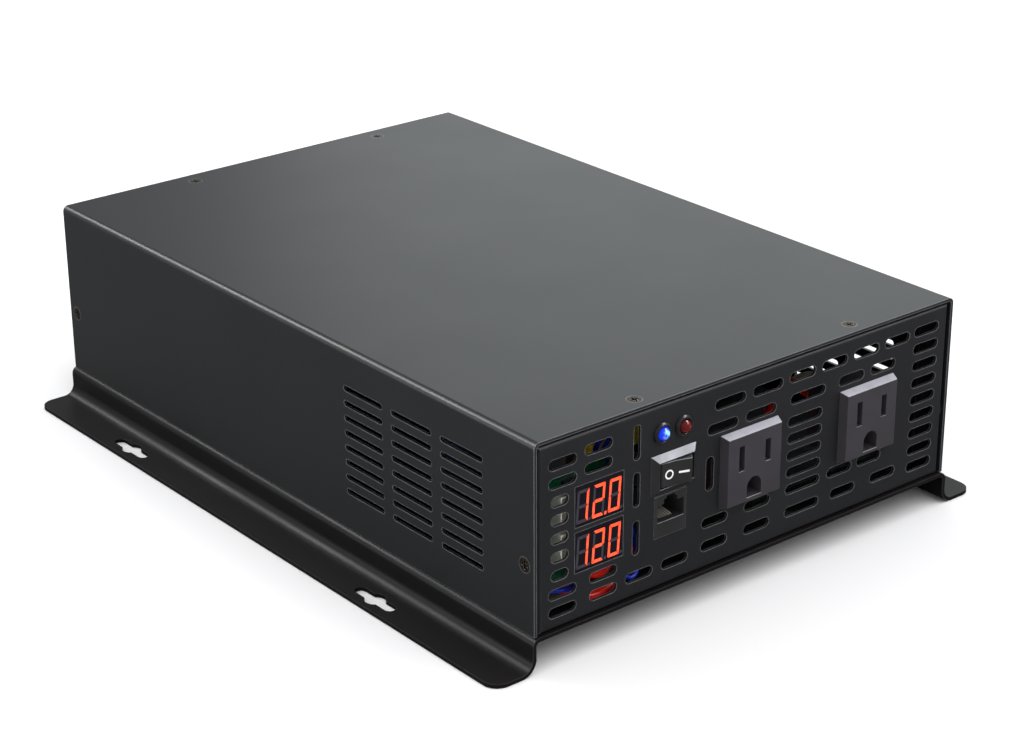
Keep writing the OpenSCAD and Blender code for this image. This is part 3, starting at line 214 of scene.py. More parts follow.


# color is linear; tone is how far it strays; rough runs from the glossiest to the dullest patch;
# grain and patch are in mm, bump in micrometres; the edge share is how much of the colour along an edge
# turns paler, partly worn paint and partly a painted highlight; faces sloping up and forward get a painted
# highlight colour
plainLook = {"wear": 0.0, "wearReach": 0.35, "metallic": 0.0, "specular": 0.5, "coat": 0.0}
finishes = {
    "coverPaint": {"color": (0.0105, 0.0120, 0.0132), "tone": 0.05, "rough": (0.355, 0.375), "grain": 0.7,
                   "patch": 45, "bump": 3, "wear": 0.55, "wearReach": 0.6, "worn": (0.34, 0.34, 0.35),
                   "specular": 0.45},
    "basePaint": {"color": (0.0058, 0.0047, 0.0050), "tone": 0.08, "rough": (0.36, 0.42), "grain": 0.7,
                  "patch": 40, "bump": 4, "wear": 0.30, "worn": (0.20, 0.19, 0.20), "specular": 0.17},
    "panelPaint": {"color": (0.0125, 0.0130, 0.0145), "tone": 0.08, "rough": (0.44, 0.50), "grain": 0.6,
                   "patch": 35, "bump": 4, "wear": 0.85, "worn": (0.30, 0.30, 0.31), "specular": 0.30},
    "darkScrew": {"color": (0.050, 0.040, 0.032), "tone": 0.35, "rough": (0.30, 0.45), "grain": 0.3,
                  "patch": 2, "bump": 6, "metallic": 1.0, "wear": 0.8, "worn": (0.50, 0.45, 0.40)},
    "outletPlastic": {"color": (0.034, 0.031, 0.037), "tone": 0.08, "rough": (0.36, 0.46), "grain": 0.5,
                      "patch": 12, "bump": 7, "wear": 0.30, "worn": (0.20, 0.19, 0.22),
                      "bloom": (0.33, 0.325, 0.37), "bloomFrom": 0.9},
    "switchPlastic": {"color": (0.017, 0.017, 0.018), "tone": 0.10, "rough": (0.32, 0.42), "grain": 0.45,
                      "patch": 9, "bump": 7, "wear": 0.25, "worn": (0.14, 0.14, 0.15),
                      "bloom": (0.30, 0.30, 0.34), "bloomFrom": 0.88},
    "clipPlastic": {"color": (0.010, 0.010, 0.011), "tone": 0.10, "rough": (0.22, 0.32), "grain": 0.4,
                    "patch": 5, "bump": 4, "wear": 0.4, "worn": (0.12, 0.12, 0.12)},
    "blackPlastic": {"color": (0.010, 0.010, 0.010), "tone": 0.12, "rough": (0.36, 0.48), "grain": 0.5,
                     "patch": 9, "bump": 9, "wear": 0.25, "worn": (0.09, 0.09, 0.09)},
    "redPlastic": {"color": (0.42, 0.012, 0.010), "tone": 0.10, "rough": (0.34, 0.44), "grain": 0.5,
                   "patch": 9, "bump": 9, "wear": 0.25, "worn": (0.66, 0.14, 0.12)},
    "fanPlastic": {"color": (0.020, 0.020, 0.022), "tone": 0.15, "rough": (0.38, 0.52), "grain": 0.6,
                   "patch": 14, "bump": 12, "wear": 0.2, "worn": (0.08, 0.08, 0.08)},
    "packageResin": {"color": (0.016, 0.016, 0.018), "tone": 0.15, "rough": (0.45, 0.60), "grain": 0.25,
                     "patch": 4, "bump": 9, "wear": 0.2, "worn": (0.07, 0.07, 0.07)},
    "whiteNylon": {"color": (0.74, 0.72, 0.64), "tone": 0.06, "rough": (0.38, 0.5), "grain": 0.5,
                   "patch": 5, "bump": 5, "wear": 0.1, "worn": (0.9, 0.9, 0.86)},
    "fishPaper": {"color": (0.50, 0.43, 0.27), "tone": 0.16, "rough": (0.6, 0.75), "grain": 0.5,
                  "patch": 8, "bump": 18},
    "ferrite": {"color": (0.045, 0.045, 0.048), "tone": 0.25, "rough": (0.5, 0.65), "grain": 0.5,
                "patch": 6, "bump": 25, "wear": 0.3, "worn": (0.18, 0.18, 0.19)},
    "chokePaint": {"color": (0.74, 0.52, 0.04), "tone": 0.1, "rough": (0.3, 0.4), "grain": 1.0,
                   "patch": 6, "bump": 12, "wear": 0.2, "worn": (0.6, 0.55, 0.3)},
    "fusePlastic": {"color": (0.62, 0.20, 0.02), "tone": 0.06, "rough": (0.18, 0.28), "grain": 0.8,
                    "patch": 5, "bump": 3, "wear": 0.1, "worn": (0.8, 0.4, 0.1), "coat": 0.4},
    "yellowTape": {"color": (0.72, 0.50, 0.02), "tone": 0.12, "rough": (0.2, 0.3), "grain": 3.0,
                   "patch": 9, "bump": 30, "wear": 0.1, "worn": (0.8, 0.65, 0.2), "coat": 0.3},
    "capacitorSleeve": {"color": (0.012, 0.014, 0.020), "tone": 0.1, "rough": (0.2, 0.28), "grain": 2.0,
                        "patch": 9, "bump": 10, "wear": 0.1, "worn": (0.05, 0.05, 0.06), "coat": 0.3},
    "busSleeve": {"color": (0.015, 0.030, 0.075), "tone": 0.1, "rough": (0.2, 0.28), "grain": 2.0,
                  "patch": 9, "bump": 10, "wear": 0.1, "worn": (0.06, 0.08, 0.12), "coat": 0.3},
    "redWire": {"color": (0.88, 0.018, 0.010), "tone": 0.08, "rough": (0.25, 0.35), "grain": 0.8,
                "patch": 9, "bump": 4},
    "whiteWire": {"color": (0.72, 0.70, 0.64), "tone": 0.05, "rough": (0.25, 0.35), "grain": 0.8,
                  "patch": 9, "bump": 4},
    "blueWire": {"color": (0.012, 0.035, 0.46), "tone": 0.08, "rough": (0.25, 0.35), "grain": 0.8,
                 "patch": 9, "bump": 4},
    "springPlate": {"color": (0.72, 0.68, 0.58), "tone": 0.08, "rough": (0.4, 0.5), "grain": 0.2,
                    "patch": 1.5, "bump": 1, "metallic": 0.35},
    "symbolInk": {"color": (0.80, 0.80, 0.80), "tone": 0.04, "rough": (0.4, 0.5), "grain": 0.4,
                  "patch": 2, "bump": 3},
    "displayGlass": {"color": (0.0060, 0.0045, 0.0075), "tone": 0.1, "rough": (0.14, 0.20), "grain": 0.6,
                     "patch": 8, "bump": 1, "wear": 0.3, "worn": (0.10, 0.10, 0.12), "specular": 0.2},
    "darkSegment": {"color": (0.034, 0.032, 0.046), "tone": 0.08, "rough": (0.3, 0.4), "grain": 0.3,
                    "patch": 3, "bump": 2},
}


def plainFinish(name, given):
    look = {**plainLook, **given}
    made, tree, shader = startMaterial(name)
    grain = placeGroup(tree, "grain", {"Size": look["grain"], "Patch": look["patch"]})
    tone = mixColors(tree, mottled(tree, grain["Mottle"]), shaded(look["color"], 1 - look["tone"]),
                     shaded(look["color"], 1 + look["tone"]))
    # paler colour along edges: partly worn paint, partly a painted highlight
    if look["wear"] > 0:
        worn = placeGroup(tree, "wear", {"Radius": look["wearReach"], "Amount": look["wear"]})["Mask"]
        tone = mixColors(tree, worn, tone, shaded(look["worn"]))
    # painted highlight on faces that slope up and forward
    if "bloom" in look:
        highlightMask = placeGroup(tree, "bloom", {"From": look["bloomFrom"]})["Mask"]
        tone = mixColors(tree, highlightMask, tone, shaded(look["bloom"]))
    tree.links.new(tone, shader.inputs["Base Color"])
    tree.links.new(mottled(tree, grain["Mottle"], look["rough"]), shader.inputs["Roughness"])
    tree.links.new(bumpFrom(tree, grain["Height"], look["bump"]), shader.inputs["Normal"])
    shader.inputs["Metallic"].default_value = look["metallic"]
    shader.inputs["Specular IOR Level"].default_value = look["specular"]
    shader.inputs["Coat Weight"].default_value = look["coat"]
    return made


# metals whose grain runs one way; long is how far the lines stretch along X, Y and Z
metals = {
    "nickel": {"color": (0.60, 0.59, 0.57), "rough": (0.22, 0.36), "width": 0.25,
               "long": (1, 6, 1), "bump": 3},
    "brass": {"color": (0.68, 0.47, 0.20), "rough": (0.24, 0.38), "width": 0.3,
              "long": (1, 5, 1), "bump": 3},
    "copper": {"color": (0.66, 0.27, 0.13), "rough": (0.26, 0.42), "width": 0.4,
               "long": (1, 1, 8), "bump": 4},
    "blackAnodised": {"color": (0.012, 0.012, 0.013), "rough": (0.34, 0.48), "width": 0.4,
                      "long": (1, 30, 1), "bump": 6},
    "canAluminium": {"color": (0.70, 0.70, 0.71), "rough": (0.25, 0.35), "width": 0.6,
                     "long": (3, 3, 1), "bump": 2},
    "chrome": {"color": (0.62, 0.63, 0.65), "rough": (0.10, 0.20), "width": 0.5,
               "long": (4, 4, 1), "bump": 2},
    "enamelWire": {"color": (0.50, 0.15, 0.05), "rough": (0.20, 0.30), "width": 0.5,
                   "long": (1, 1, 6), "bump": 2},
}
metalPatches = {"grain": 0.5, "patch": 6.0, "dark": 0.86, "light": 1.06}


def metalFinish(name, look):
    made, tree, shader = startMaterial(name)
    stretch = dict(zip(("LongX", "LongY", "LongZ"), look["long"]))
    lines = placeGroup(tree, "lines", {"Width": look["width"], **stretch})["Height"]
    grain = placeGroup(tree, "grain", {"Size": metalPatches["grain"], "Patch": metalPatches["patch"]})
    tone = mixColors(tree, mottled(tree, grain["Mottle"]), shaded(look["color"], metalPatches["dark"]),
                     shaded(look["color"], metalPatches["light"]))
    tree.links.new(tone, shader.inputs["Base Color"])
    tree.links.new(mottled(tree, lines, look["rough"]), shader.inputs["Roughness"])
    tree.links.new(bumpFrom(tree, lines, look["bump"]), shader.inputs["Normal"])
    shader.inputs["Metallic"].default_value = 1.0
    return made


boards = {
    "circuitBoard": {"mask": (0.004, 0.055, 0.026), "track": (0.008, 0.095, 0.042),
                     "pad": (0.55, 0.52, 0.42), "pitch": 2.4, "rough": (0.28, 0.40), "specular": 0.4,
                     "bump": 25},
    "powerBoard": {"mask": (0.002, 0.008, 0.005), "track": (0.004, 0.016, 0.009),
                   "pad": (0.10, 0.095, 0.085), "pitch": 3.6, "rough": (0.62, 0.75), "specular": 0.12,
                   "bump": 25},
}


def boardFinish(name, look):
    made, tree, shader = startMaterial(name)
    tracks = placeGroup(tree, "tracks", {"Pitch": look["pitch"]})
    color = mixColors(tree, tracks["Track"], shaded(look["mask"]), shaded(look["track"]))
    color = mixColors(tree, tracks["Pad"], color, shaded(look["pad"]))
    tree.links.new(color, shader.inputs["Base Color"])
    tree.links.new(mottled(tree, tracks["Pad"], look["rough"]), shader.inputs["Roughness"])
    tree.links.new(bumpFrom(tree, tracks["Track"], look["bump"]), shader.inputs["Normal"])
    shader.inputs["Specular IOR Level"].default_value = look["specular"]
    return made


# glow runs from the rim's colour to the hot spot of the lens, over reach mm
lamps = {
    "blueLens": {"node": "power_led", "color": (0.010, 0.030, 0.60), "rim": (0.0, 0.014, 0.34),
                 "hot": (0.42, 0.88, 1.0), "strength": 1.0, "reach": 2.5},
    "redLens": {"node": "fault_led", "color": (0.085, 0.003, 0.003), "rim": (0.03, 0.0, 0.0),
                "hot": (0.36, 0.03, 0.02), "strength": 0.22, "reach": 2.6},
}
# the hot spot lies aside of the lens's middle and behind its tip, and facets break it up into sparks
lensLook = {"aside": 0.6, "behind": 0.4, "above": 0.2, "core": 0.3, "fall": 1.5, "facets": 850.0,
            "sparks": 6.0, "sparkPower": 3.0, "haze": 0.1, "tone": 0.2, "rough": (0.08, 0.16), "bump": 12}


def hotSpot(node):
    low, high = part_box(node)
    middle = (low + high) / 2
    return Vector((middle.x + lensLook["aside"] * mm, low.y + lensLook["behind"] * mm,
                   middle.z + lensLook["above"] * mm))


def lampFinish(name, look):
    made, tree, shader = startMaterial(name)
    place = objectPlace(tree)
    centred = addNode(tree, "ShaderNodeMapping", {"Vector": place, "Location": -hotSpot(look["node"])})
    reach = vectorNode(tree, "LENGTH", centred.outputs["Vector"]).outputs["Value"]
    glow = spread(tree, reach, (look["reach"] * mm, lensLook["core"] * mm))
    facets = addNode(tree, "ShaderNodeTexVoronoi", {"Vector": place, "Scale": lensLook["facets"]})
    facets = facets.outputs["Distance"]
    sparks = mathNode(tree, "POWER", facets, lensLook["sparkPower"])
    sparks = mathNode(tree, "MULTIPLY", sparks, lensLook["sparks"])
    sparks = mathNode(tree, "ADD", sparks, lensLook["haze"])
    sparks = mathNode(tree, "MULTIPLY", mathNode(tree, "POWER", glow, lensLook["fall"]), sparks, clamp=True)
    light = mixColors(tree, sparks, shaded(look["rim"]), shaded(look["hot"]))
    tone = mixColors(tree, glow, shaded(look["color"], 1 - lensLook["tone"]),
                     shaded(look["color"], 1 + lensLook["tone"]))
    tree.links.new(light, shader.inputs["Emission Color"])
    tree.links.new(tone, shader.inputs["Base Color"])
    tree.links.new(mottled(tree, facets, lensLook["rough"]), shader.inputs["Roughness"])
    tree.links.new(bumpFrom(tree, facets, lensLook["bump"]), shader.inputs["Normal"])
    shader.inputs["Emission Strength"].default_value = look["strength"]
    return made


litLook = {"core": (1.0, 0.085, 0.024), "rim": (0.85, 0.050, 0.012), "strength": 0.92, "grain": 0.5,
           "patch": 1.5, "rough": 0.35}


def litFinish(name, look):
    made, tree, shader = startMaterial(name)
    mottle = placeGroup(tree, "grain", {"Size": look["grain"], "Patch": look["patch"]})["Mottle"]
    color = mixColors(tree, mottled(tree, mottle), shaded(look["rim"]), shaded(look["core"]))
    tree.links.new(color, shader.inputs["Emission Color"])
    tree.links.new(color, shader.inputs["Base Color"])
    shader.inputs["Emission Strength"].default_value = look["strength"]
    shader.inputs["Roughness"].default_value = look["rough"]
    return made


makers = ((plainFinish, finishes), (metalFinish, metals), (lampFinish, lamps), (boardFinish, boards),
          (litFinish, {"litSegment": litLook}))
paint = {name: make(name, look) for make, table in makers for name, look in table.items()}

finishOfSlot = {
    "cover_paint": "coverPaint", "base_paint": "basePaint", "panel_paint": "panelPaint",
    "dark_screw": "darkScrew", "outlet_plastic": "outletPlastic", "contact_brass": "brass",
    "switch_plastic": "switchPlastic", "tinned_metal": "nickel", "clip_plastic": "clipPlastic",
    "blue_lens": "blueLens", "red_lens": "redLens", "display_face": "displayGlass",
    "circuit_board": "circuitBoard", "white_nylon": "whiteNylon", "package_resin": "packageResin",
    "fish_paper": "fishPaper", "heatsink_aluminium": "blackAnodised", "ferrite": "ferrite",
    "yellow_tape": "yellowTape", "choke_paint": "chokePaint", "copper": "copper",
    "capacitor_sleeve": "capacitorSleeve", "bus_capacitor_sleeve": "busSleeve",
    "fuse_plastic": "fusePlastic", "fan_plastic": "fanPlastic", "guard_chrome": "chrome",
    "red_plastic": "redPlastic", "black_plastic": "blackPlastic", "red_wire": "redWire",
    "white_wire": "whiteWire", "blue_wire": "blueWire",
}
print("finishes made,", len(paint))


def cleanCopy(node):  # a CAD mesh with its triangles joined back into flat faces
    shape = bmesh.new()
    shape.from_mesh(frame["nodes"][node].data)
    bmesh.ops.remove_doubles(shape, verts=shape.verts, dist=2 * weld)
    bmesh.ops.dissolve_limit(shape, angle_limit=math.radians(0.6), verts=shape.verts, edges=shape.edges)
    return shape


def softenEdges(shape, width, sharper=32):
    sharp = [edge for edge in shape.edges
             if len(edge.link_faces) == 2 and edge.calc_face_angle() > math.radians(sharper)]
    bmesh.ops.bevel(shape, geom=sharp, offset=width * mm, offset_type="OFFSET", segments=2, profile=0.5,
                    affect="EDGES", clamp_overlap=True, material=-1)


def addPiece(name, shape, finish, body="case", nodes=(), smooth=35, weighted=True):
    mesh = bpy.data.meshes.new(name)
    shape.to_mesh(mesh)
    shape.free()
    if "custom_normal" in mesh.attributes:
        mesh.attributes.remove(mesh.attributes["custom_normal"])
    for material in finish if isinstance(finish, list) else [finish]:
        mesh.materials.append(paint[material])
    mesh.shade_smooth()
    mesh.set_sharp_from_angle(angle=math.radians(smooth))
    piece = bpy.data.objects.new(name, mesh)
    bpy.context.scene.collection.objects.link(piece)
    if weighted:
        piece.modifiers.new("evenNormals", "WEIGHTED_NORMAL").keep_sharp = True
    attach(piece, body)
    if nodes:
        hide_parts(*nodes)


def lathe(points, steps):  # (radius, height) pairs in mm, turned about Z
    shape = bmesh.new()
    corners = [shape.verts.new((radius * mm, 0, height * mm)) for radius, height in points]
    lines = [shape.edges.new(pair) for pair in zip(corners, corners[1:])]
    bmesh.ops.spin(shape, geom=corners + lines, cent=(0, 0, 0), axis=(0, 0, 1), angle=math.tau, steps=steps,
                   use_merge=True)
    bmesh.ops.remove_doubles(shape, verts=shape.verts, dist=weld)
    bmesh.ops.recalc_face_normals(shape, faces=shape.faces)
    return shape


def joinShapes(shapes):
    whole = bmesh.new()
    for shape in shapes:
        part = bpy.data.meshes.new("part")
        shape.to_mesh(part)
        shape.free()
        whole.from_mesh(part)
        bpy.data.meshes.remove(part)
    return whole


def move(shape, matrix):
    bmesh.ops.transform(shape, matrix=matrix, verts=shape.verts)
    return shape


def facing(direction, place):  # turns +Z to the direction, then moves to the place
    return Matrix.Translation(place) @ Vector(direction).to_track_quat("Z", "Y").to_matrix().to_4x4()


# width in mm of the rounding along the edges of each piece that keeps its CAD form
edgeWidths = {
    "top_cover": 0.35, "base_plate": 0.28, "front_panel": 0.16, "rear_panel": 0.18,
    "cover_screws": 0.10, "side_screws": 0.10, "base_screws": 0.10, "fan_screws": 0.25,
    "ac_outlet_left": 0.28, "ac_outlet_right": 0.28, "rocker_housing": 0.22, "rocker_button": 0.40,
    "remote_jack": 0.14, "dc_display": 0.16, "ac_display": 0.16, "meter_board": 0.08, "meter_header": 0.15,
    "meter_chips": 0.20, "fan_frame_left": 0.45, "fan_frame_right": 0.45, "stud_base_positive": 0.80,
    "stud_base_negative": 0.80, "stud_nuts": 0.35, "bus_bars": 0.20, "heatsink_left": 0.20,
    "heatsink_right": 0.20, "output_transistors": 0.25, "input_transistors": 0.25, "transistor_clamps": 0.20,
    "transformer_cores": 0.40, "transformer_windings": 0.80, "blade_fuses": 0.40, "rocker_terminals": 0.15,
    "ground_screw": 0.25, "alarm_buzzer": 0.30,
}


def pieceName(node):
    first, *rest = node.split("_")
    return first + "".join(word.capitalize() for word in rest)


for node, width in edgeWidths.items():
    softened = cleanCopy(node)
    softenEdges(softened, width)
    addPiece(pieceName(node), softened, finishOfSlot[slotOfNode[node]], bodyOfNode[node], [node])
print("edges rounded on", len(edgeWidths), "pieces")

rockerMarks = {"ringRadius": 1.75, "ringWidth": 0.55, "barLength": 4.0, "barWidth": 0.75, "barRound": 0.12,
               "height": 0.05}


def rockerFaces():  # centre and direction of the button's two front faces, left then right
    shape = cleanCopy("rocker_button")
    halves = sorted((f for f in shape.faces if f.normal.y < -0.8), key=lambda f: f.calc_area())[-2:]
    spots = sorted((tuple(f.calc_center_median()), tuple(f.normal)) for f in halves)
    shape.free()
    return spots


def makeRockerMarks(look):
    (leftSpot, leftWay), (rightSpot, rightWay) = rockerFaces()
    outer, inner, height = look["ringRadius"], look["ringRadius"] - look["ringWidth"], look["height"]
    outline = [(inner, -height), (outer, -height), (outer, height), (inner, height), (inner, -height)]
    ring = move(lathe(outline, 40), facing(leftWay, leftSpot))
    bar = bmesh.new()
    bmesh.ops.create_cube(bar, size=mm)
    bmesh.ops.scale(bar, vec=(look["barLength"], look["barWidth"], 2 * height), verts=bar.verts)
    corners = [edge for edge in bar.edges if abs(edge.verts[0].co.z - edge.verts[1].co.z) > weld]
    bmesh.ops.bevel(bar, geom=corners, offset=look["barRound"] * mm, offset_type="OFFSET", segments=2,
                    profile=0.5, affect="EDGES", material=-1)
    out = Vector(rightWay)
    along = Vector((0, 0, 1)).cross(-out).normalized()
    turn = Matrix((along, out.cross(along), out)).transposed().to_4x4()
    move(bar, Matrix.Translation(rightSpot) @ turn)
    addPiece("rockerMarks", joinShapes([ring, bar]), "symbolInk", "rocker", weighted=False)


makeRockerMarks(rockerMarks)

lampShape = {"lensRadius": 2.5, "flangeRadius": 2.9, "flangeThick": 1.0, "leadRadius": 0.3,
             "leadLength": 5.0}
clipShape = {"flangeRadius": 4.0, "proud": 1.4, "barrelRadius": 3.1, "clearance": 0.05}


def dome(radius, steps=8):
    turns = [math.radians(90 * k / steps) for k in range(steps + 1)]
    return [(radius * math.cos(turn), radius * math.sin(turn)) for turn in turns]


def makeLamp(name, node, finish, look):
    low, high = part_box(node)
    radius, flange, lead = look["lensRadius"], look["flangeRadius"], look["leadRadius"]
    end = radius - (high.y - low.y) / mm  # the leads' end, from the foot of the dome
    seat = end + look["leadLength"]
    step = seat + look["flangeThick"]
    profile = [(0, end), (lead, end), (lead, seat), (flange, seat), (flange, step), (radius, step)]
    place = Vector(((low.x + high.x) / 2, low.y + radius * mm, (low.z + high.z) / 2))
    shape = move(lathe(profile + dome(radius), 40), facing((0, -1, 0), place))
    addPiece(name, shape, finish, "case", [node], smooth=50)


def makeClip(name, node, look):
    low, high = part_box(node)
    flange, barrel, proud = look["flangeRadius"], look["barrelRadius"], look["proud"]
    bore = lampShape["lensRadius"] + look["clearance"]
    back = proud - (high.y - low.y) / mm
    profile = [(bore, back), (barrel, back), (barrel, 0), (flange, 0), (flange, 0.45), (flange - 0.12, 0.8),
               (flange - 0.45, 1.15), (flange - 0.85, proud), (bore + 0.35, proud), (bore, proud - 0.35),
               (bore, back)]
    place = Vector(((low.x + high.x) / 2, low.y + proud * mm, (low.z + high.z) / 2))
    shape = move(lathe(profile, 48), facing((0, -1, 0), place))
    addPiece(name, shape, "clipPlastic", "case", [node], smooth=50)


makeLamp("powerLamp", "power_led", "blueLens", lampShape)
makeLamp("faultLamp", "fault_led", "redLens", lampShape)
makeClip("powerClip", "led_clip_power", clipShape)
makeClip("faultClip", "led_clip_fault", clipShape)

# sizes of a meter's digits in mm, slant in degrees; shift and lift place them in the display
digitLook = {"height": 12.1, "width": 5.1, "pitch": 7.1, "upright": 0.95, "level": 1.15, "gap": 0.14,
             "slant": 4.2, "dot": 0.95, "dotTall": 1.2, "dotAside": 0.85, "proud": 0.04, "stand": 0.01,
             "shift": -0.35, "lift": -0.25}
litBars = {"0": "abcdef", "1": "bc", "2": "abged"}


def slab(outline, height):  # flat outline in X and Z, pushed forward
    shape = bmesh.new()
    flat = shape.faces.new([shape.verts.new((x * mm, 0, z * mm)) for x, z in outline])
    grown = bmesh.ops.extrude_face_region(shape, geom=[flat])["geom"]
    bmesh.ops.translate(shape, vec=(0, -height * mm, 0),
                        verts=[part for part in grown if isinstance(part, bmesh.types.BMVert)])
    bmesh.ops.recalc_face_normals(shape, faces=shape.faces)
    return shape


def digitBars(look):  # outline of each bar, mitred into its neighbours
    w, h, gap = look["width"] / 2, look["height"] / 2, look["gap"]
    side, level = look["upright"], look["level"]
    top = [(gap - w, h), (w - gap, h), (w - side - gap, h - level), (side + gap - w, h - level)]
    corner = [(w, h - gap), (w, gap), (w - side / 2, gap / 2), (w - side, level / 2 + gap / 2),
              (w - side, h - level - gap)]
    middle = [(side / 2 + gap - w, 0), (side + gap - w, level / 2), (w - side - gap, level / 2),
              (w - side / 2 - gap, 0), (w - side - gap, -level / 2), (side + gap - w, -level / 2)]
    flips = {"b": (1, 1), "c": (1, -1), "f": (-1, 1), "e": (-1, -1)}
    bars = {key: [(x * i, z * j) for x, z in corner] for key, (i, j) in flips.items()}
    bars.update({"a": top, "d": [(x, -z) for x, z in top], "g": middle})
    return bars


def makeDigits(name, node, text, dotAfter, look):
    lit, dark = [], []
    wide, tall = look["dot"] / 2, look["dot"] / 2 * look["dotTall"]
    foot = (look["dot"] - look["height"]) / 2
    for place, digit in enumerate(text):
        middle = (place - 1) * look["pitch"] + look["shift"]
        for key, outline in digitBars(look).items():
            bar = slab([(x + middle, z) for x, z in outline], look["proud"])
            (lit if key in litBars[digit] else dark).append(bar)
        across = middle + look["width"] / 2 + look["dotAside"]
        corners = [(across + i * wide, foot + j * tall) for i, j in ((-1, -1), (1, -1), (1, 1), (-1, 1))]
        (lit if place == dotAfter else dark).append(slab(corners, look["proud"]))
    low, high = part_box(node)
    lean = Matrix.Shear("XY", 4, (math.tan(math.radians(look["slant"])), 0))
    spot = Matrix.Translation(((low.x + high.x) / 2, low.y + look["stand"] * mm,
                               (low.z + high.z) / 2 + look["lift"] * mm))
    for suffix, shapes, finish in (("Lit", lit, "litSegment"), ("Dark", dark, "darkSegment")):
        addPiece(name + suffix, move(joinShapes(shapes), spot @ lean), finish, weighted=False, smooth=20)


makeDigits("dcDigits", "dc_display", "120", 1, digitLook)
makeDigits("acDigits", "ac_display", "120", None, digitLook)
print("switch, lamps and meters made")


def wireShape(routes, radius, cyclic=False, sides=3):  # round stock along smooth routes in mm
    line = bpy.data.curves.new("line", "CURVE")
    line.dimensions = "3D"
    line.bevel_depth = radius * mm
    line.bevel_resolution = sides
    line.resolution_u = 6
    line.use_fill_caps = True
    for route in routes:
        spline = line.splines.new("BEZIER")
        spline.bezier_points.add(len(route) - 1)
        for point, at in zip(spline.bezier_points, route):
            point.co = Vector(at) * mm
            point.handle_left_type = point.handle_right_type = "AUTO"
        spline.use_cyclic_u = cyclic
    holder = bpy.data.objects.new("holder", line)
    bpy.context.scene.collection.objects.link(holder)
    mesh = bpy.data.meshes.new_from_object(holder.evaluated_get(bpy.context.evaluated_depsgraph_get()))
    shape = bmesh.new()
    shape.from_mesh(mesh)
    bmesh.ops.remove_doubles(shape, verts=shape.verts, dist=weld)
    bpy.data.objects.remove(holder)
    bpy.data.curves.remove(line)
    bpy.data.meshes.remove(mesh)
    return shape


# points in mm, y from the cover's front edge
liveRoutes = [
    [(-74, 31, 21.1), (-74, 31, 26), (-73, 17, 27), (-67, 8.5, 23.4), (-54, 14, 26.5), (-16, 27, 42),
     (-9.2, 31, 53.1), (-9.2, 23.3, 53.1)],
    [(-84, 30, 21.1), (-84, 30, 25), (-84, 16, 26), (-76, 7.5, 17.8), (-60, 7.5, 17.6), (-46, 13, 25),
     (0, 26, 31), (44, 38, 40), (50, 33, 53.1), (50, 23.3, 53.1)],
]
neutralRoutes = [
    [(10, 45, 21.1), (10, 45, 30), (5, 40, 47), (3.4, 32, 53.1), (3.4, 23.3, 53.1)],
    [(60, 50, 21.1), (60, 50, 28), (62, 44, 46), (62.6, 33, 53.1), (62.6, 23.3, 53.1)],
]
signalRoutes = [
    [(-92, 27, 21.1), (-92, 27, 25), (-93, 12, 25.5), (-86, 6, 24), (-77, 5, 24.5), (-73, 4.4, 29.4),
     (-73, 7.5, 29.4)],
    [(-43.8, 21.3, 57), (-43.8, 26, 57), (-49.6, 21, 47), (-50, 11, 40), (-50, 7, 32), (-50, 6, 24),
     (-53, 4.4, 19), (-57, 5, 21), (-57.4, 7, 27), (-56.5, 13, 30), (-56.5, 25, 27), (-56.5, 25, 21.1)],
    [(-43.2, 12.8, 72.4), (-45, 19, 71), (-54, 20, 67), (-61, 15, 62), (-61, 9.1, 62)],
    [(-33.3, 12.8, 72.4), (-36, 22, 70), (-48, 25, 60), (-61, 16, 48), (-61, 9.1, 48)],
] + [[(side * 37, y, z) for y, z in ((275.5, 30), (270, 30), (263, 29), (259, 26), (259, 21.1))]
     for side in (-1, 1)]
wires = {
    "liveWires": {"node": "live_wires", "routes": liveRoutes, "radius": 2.0, "finish": "redWire"},
    "neutralWires": {"node": "neutral_wires", "routes": neutralRoutes, "radius": 1.5, "finish": "whiteWire"},
    "signalWires": {"node": "signal_wires", "routes": signalRoutes, "radius": 1.0, "finish": "blueWire"},
}
for name, look in wires.items():
    wire = move(wireShape(look["routes"], look["radius"]), Matrix.Translation((0, caseFront, 0)))
    addPiece(name, wire, look["finish"], "case", [look["node"]], smooth=60)

jackSprings = {"count": 6, "radius": 0.14, "rise": 1.1}


def makeJackSprings(look):
    low, high = (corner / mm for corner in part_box("jack_contacts"))
    radius, count = look["radius"], look["count"]
    foot, deep = low.z + radius, high.y - radius
    shelf = foot + look["rise"]
    routes = []
    for k in range(count):
        x = low.x + radius + (high.x - low.x - 2 * radius) * k / (count - 1)
        routes.append([(x, low.y + 0.4, foot), (x, low.y + 1.6, foot + 0.35), (x, deep - 1.5, shelf),
                       (x, deep - 0.4, shelf + 0.3), (x, deep, high.z - 1.2), (x, deep, high.z)])
    addPiece("jackSprings", wireShape(routes, radius, sides=2), "springPlate", "case", ["jack_contacts"],
             smooth=60)


makeJackSprings(jackSprings)
print("wires and springs made")

# angles in degrees; taper, twist and pitch are shares of the chord and of the rotor's depth
rotorLook = {"blades": 7, "depth": 18.0, "sweep": 30, "chord": 40, "taper": 0.18, "pitch": 0.88,
             "twist": 0.25, "camber": 2.2, "thick": 1.1, "sunk": 0.6, "setBack": 0.4, "tipGap": 0.5,
             "hubRadius": 12.0, "hubWall": 1.5, "ring": (8.6, 9.0), "spindleRadius": 1.5,
             "spindleReach": 4.0}


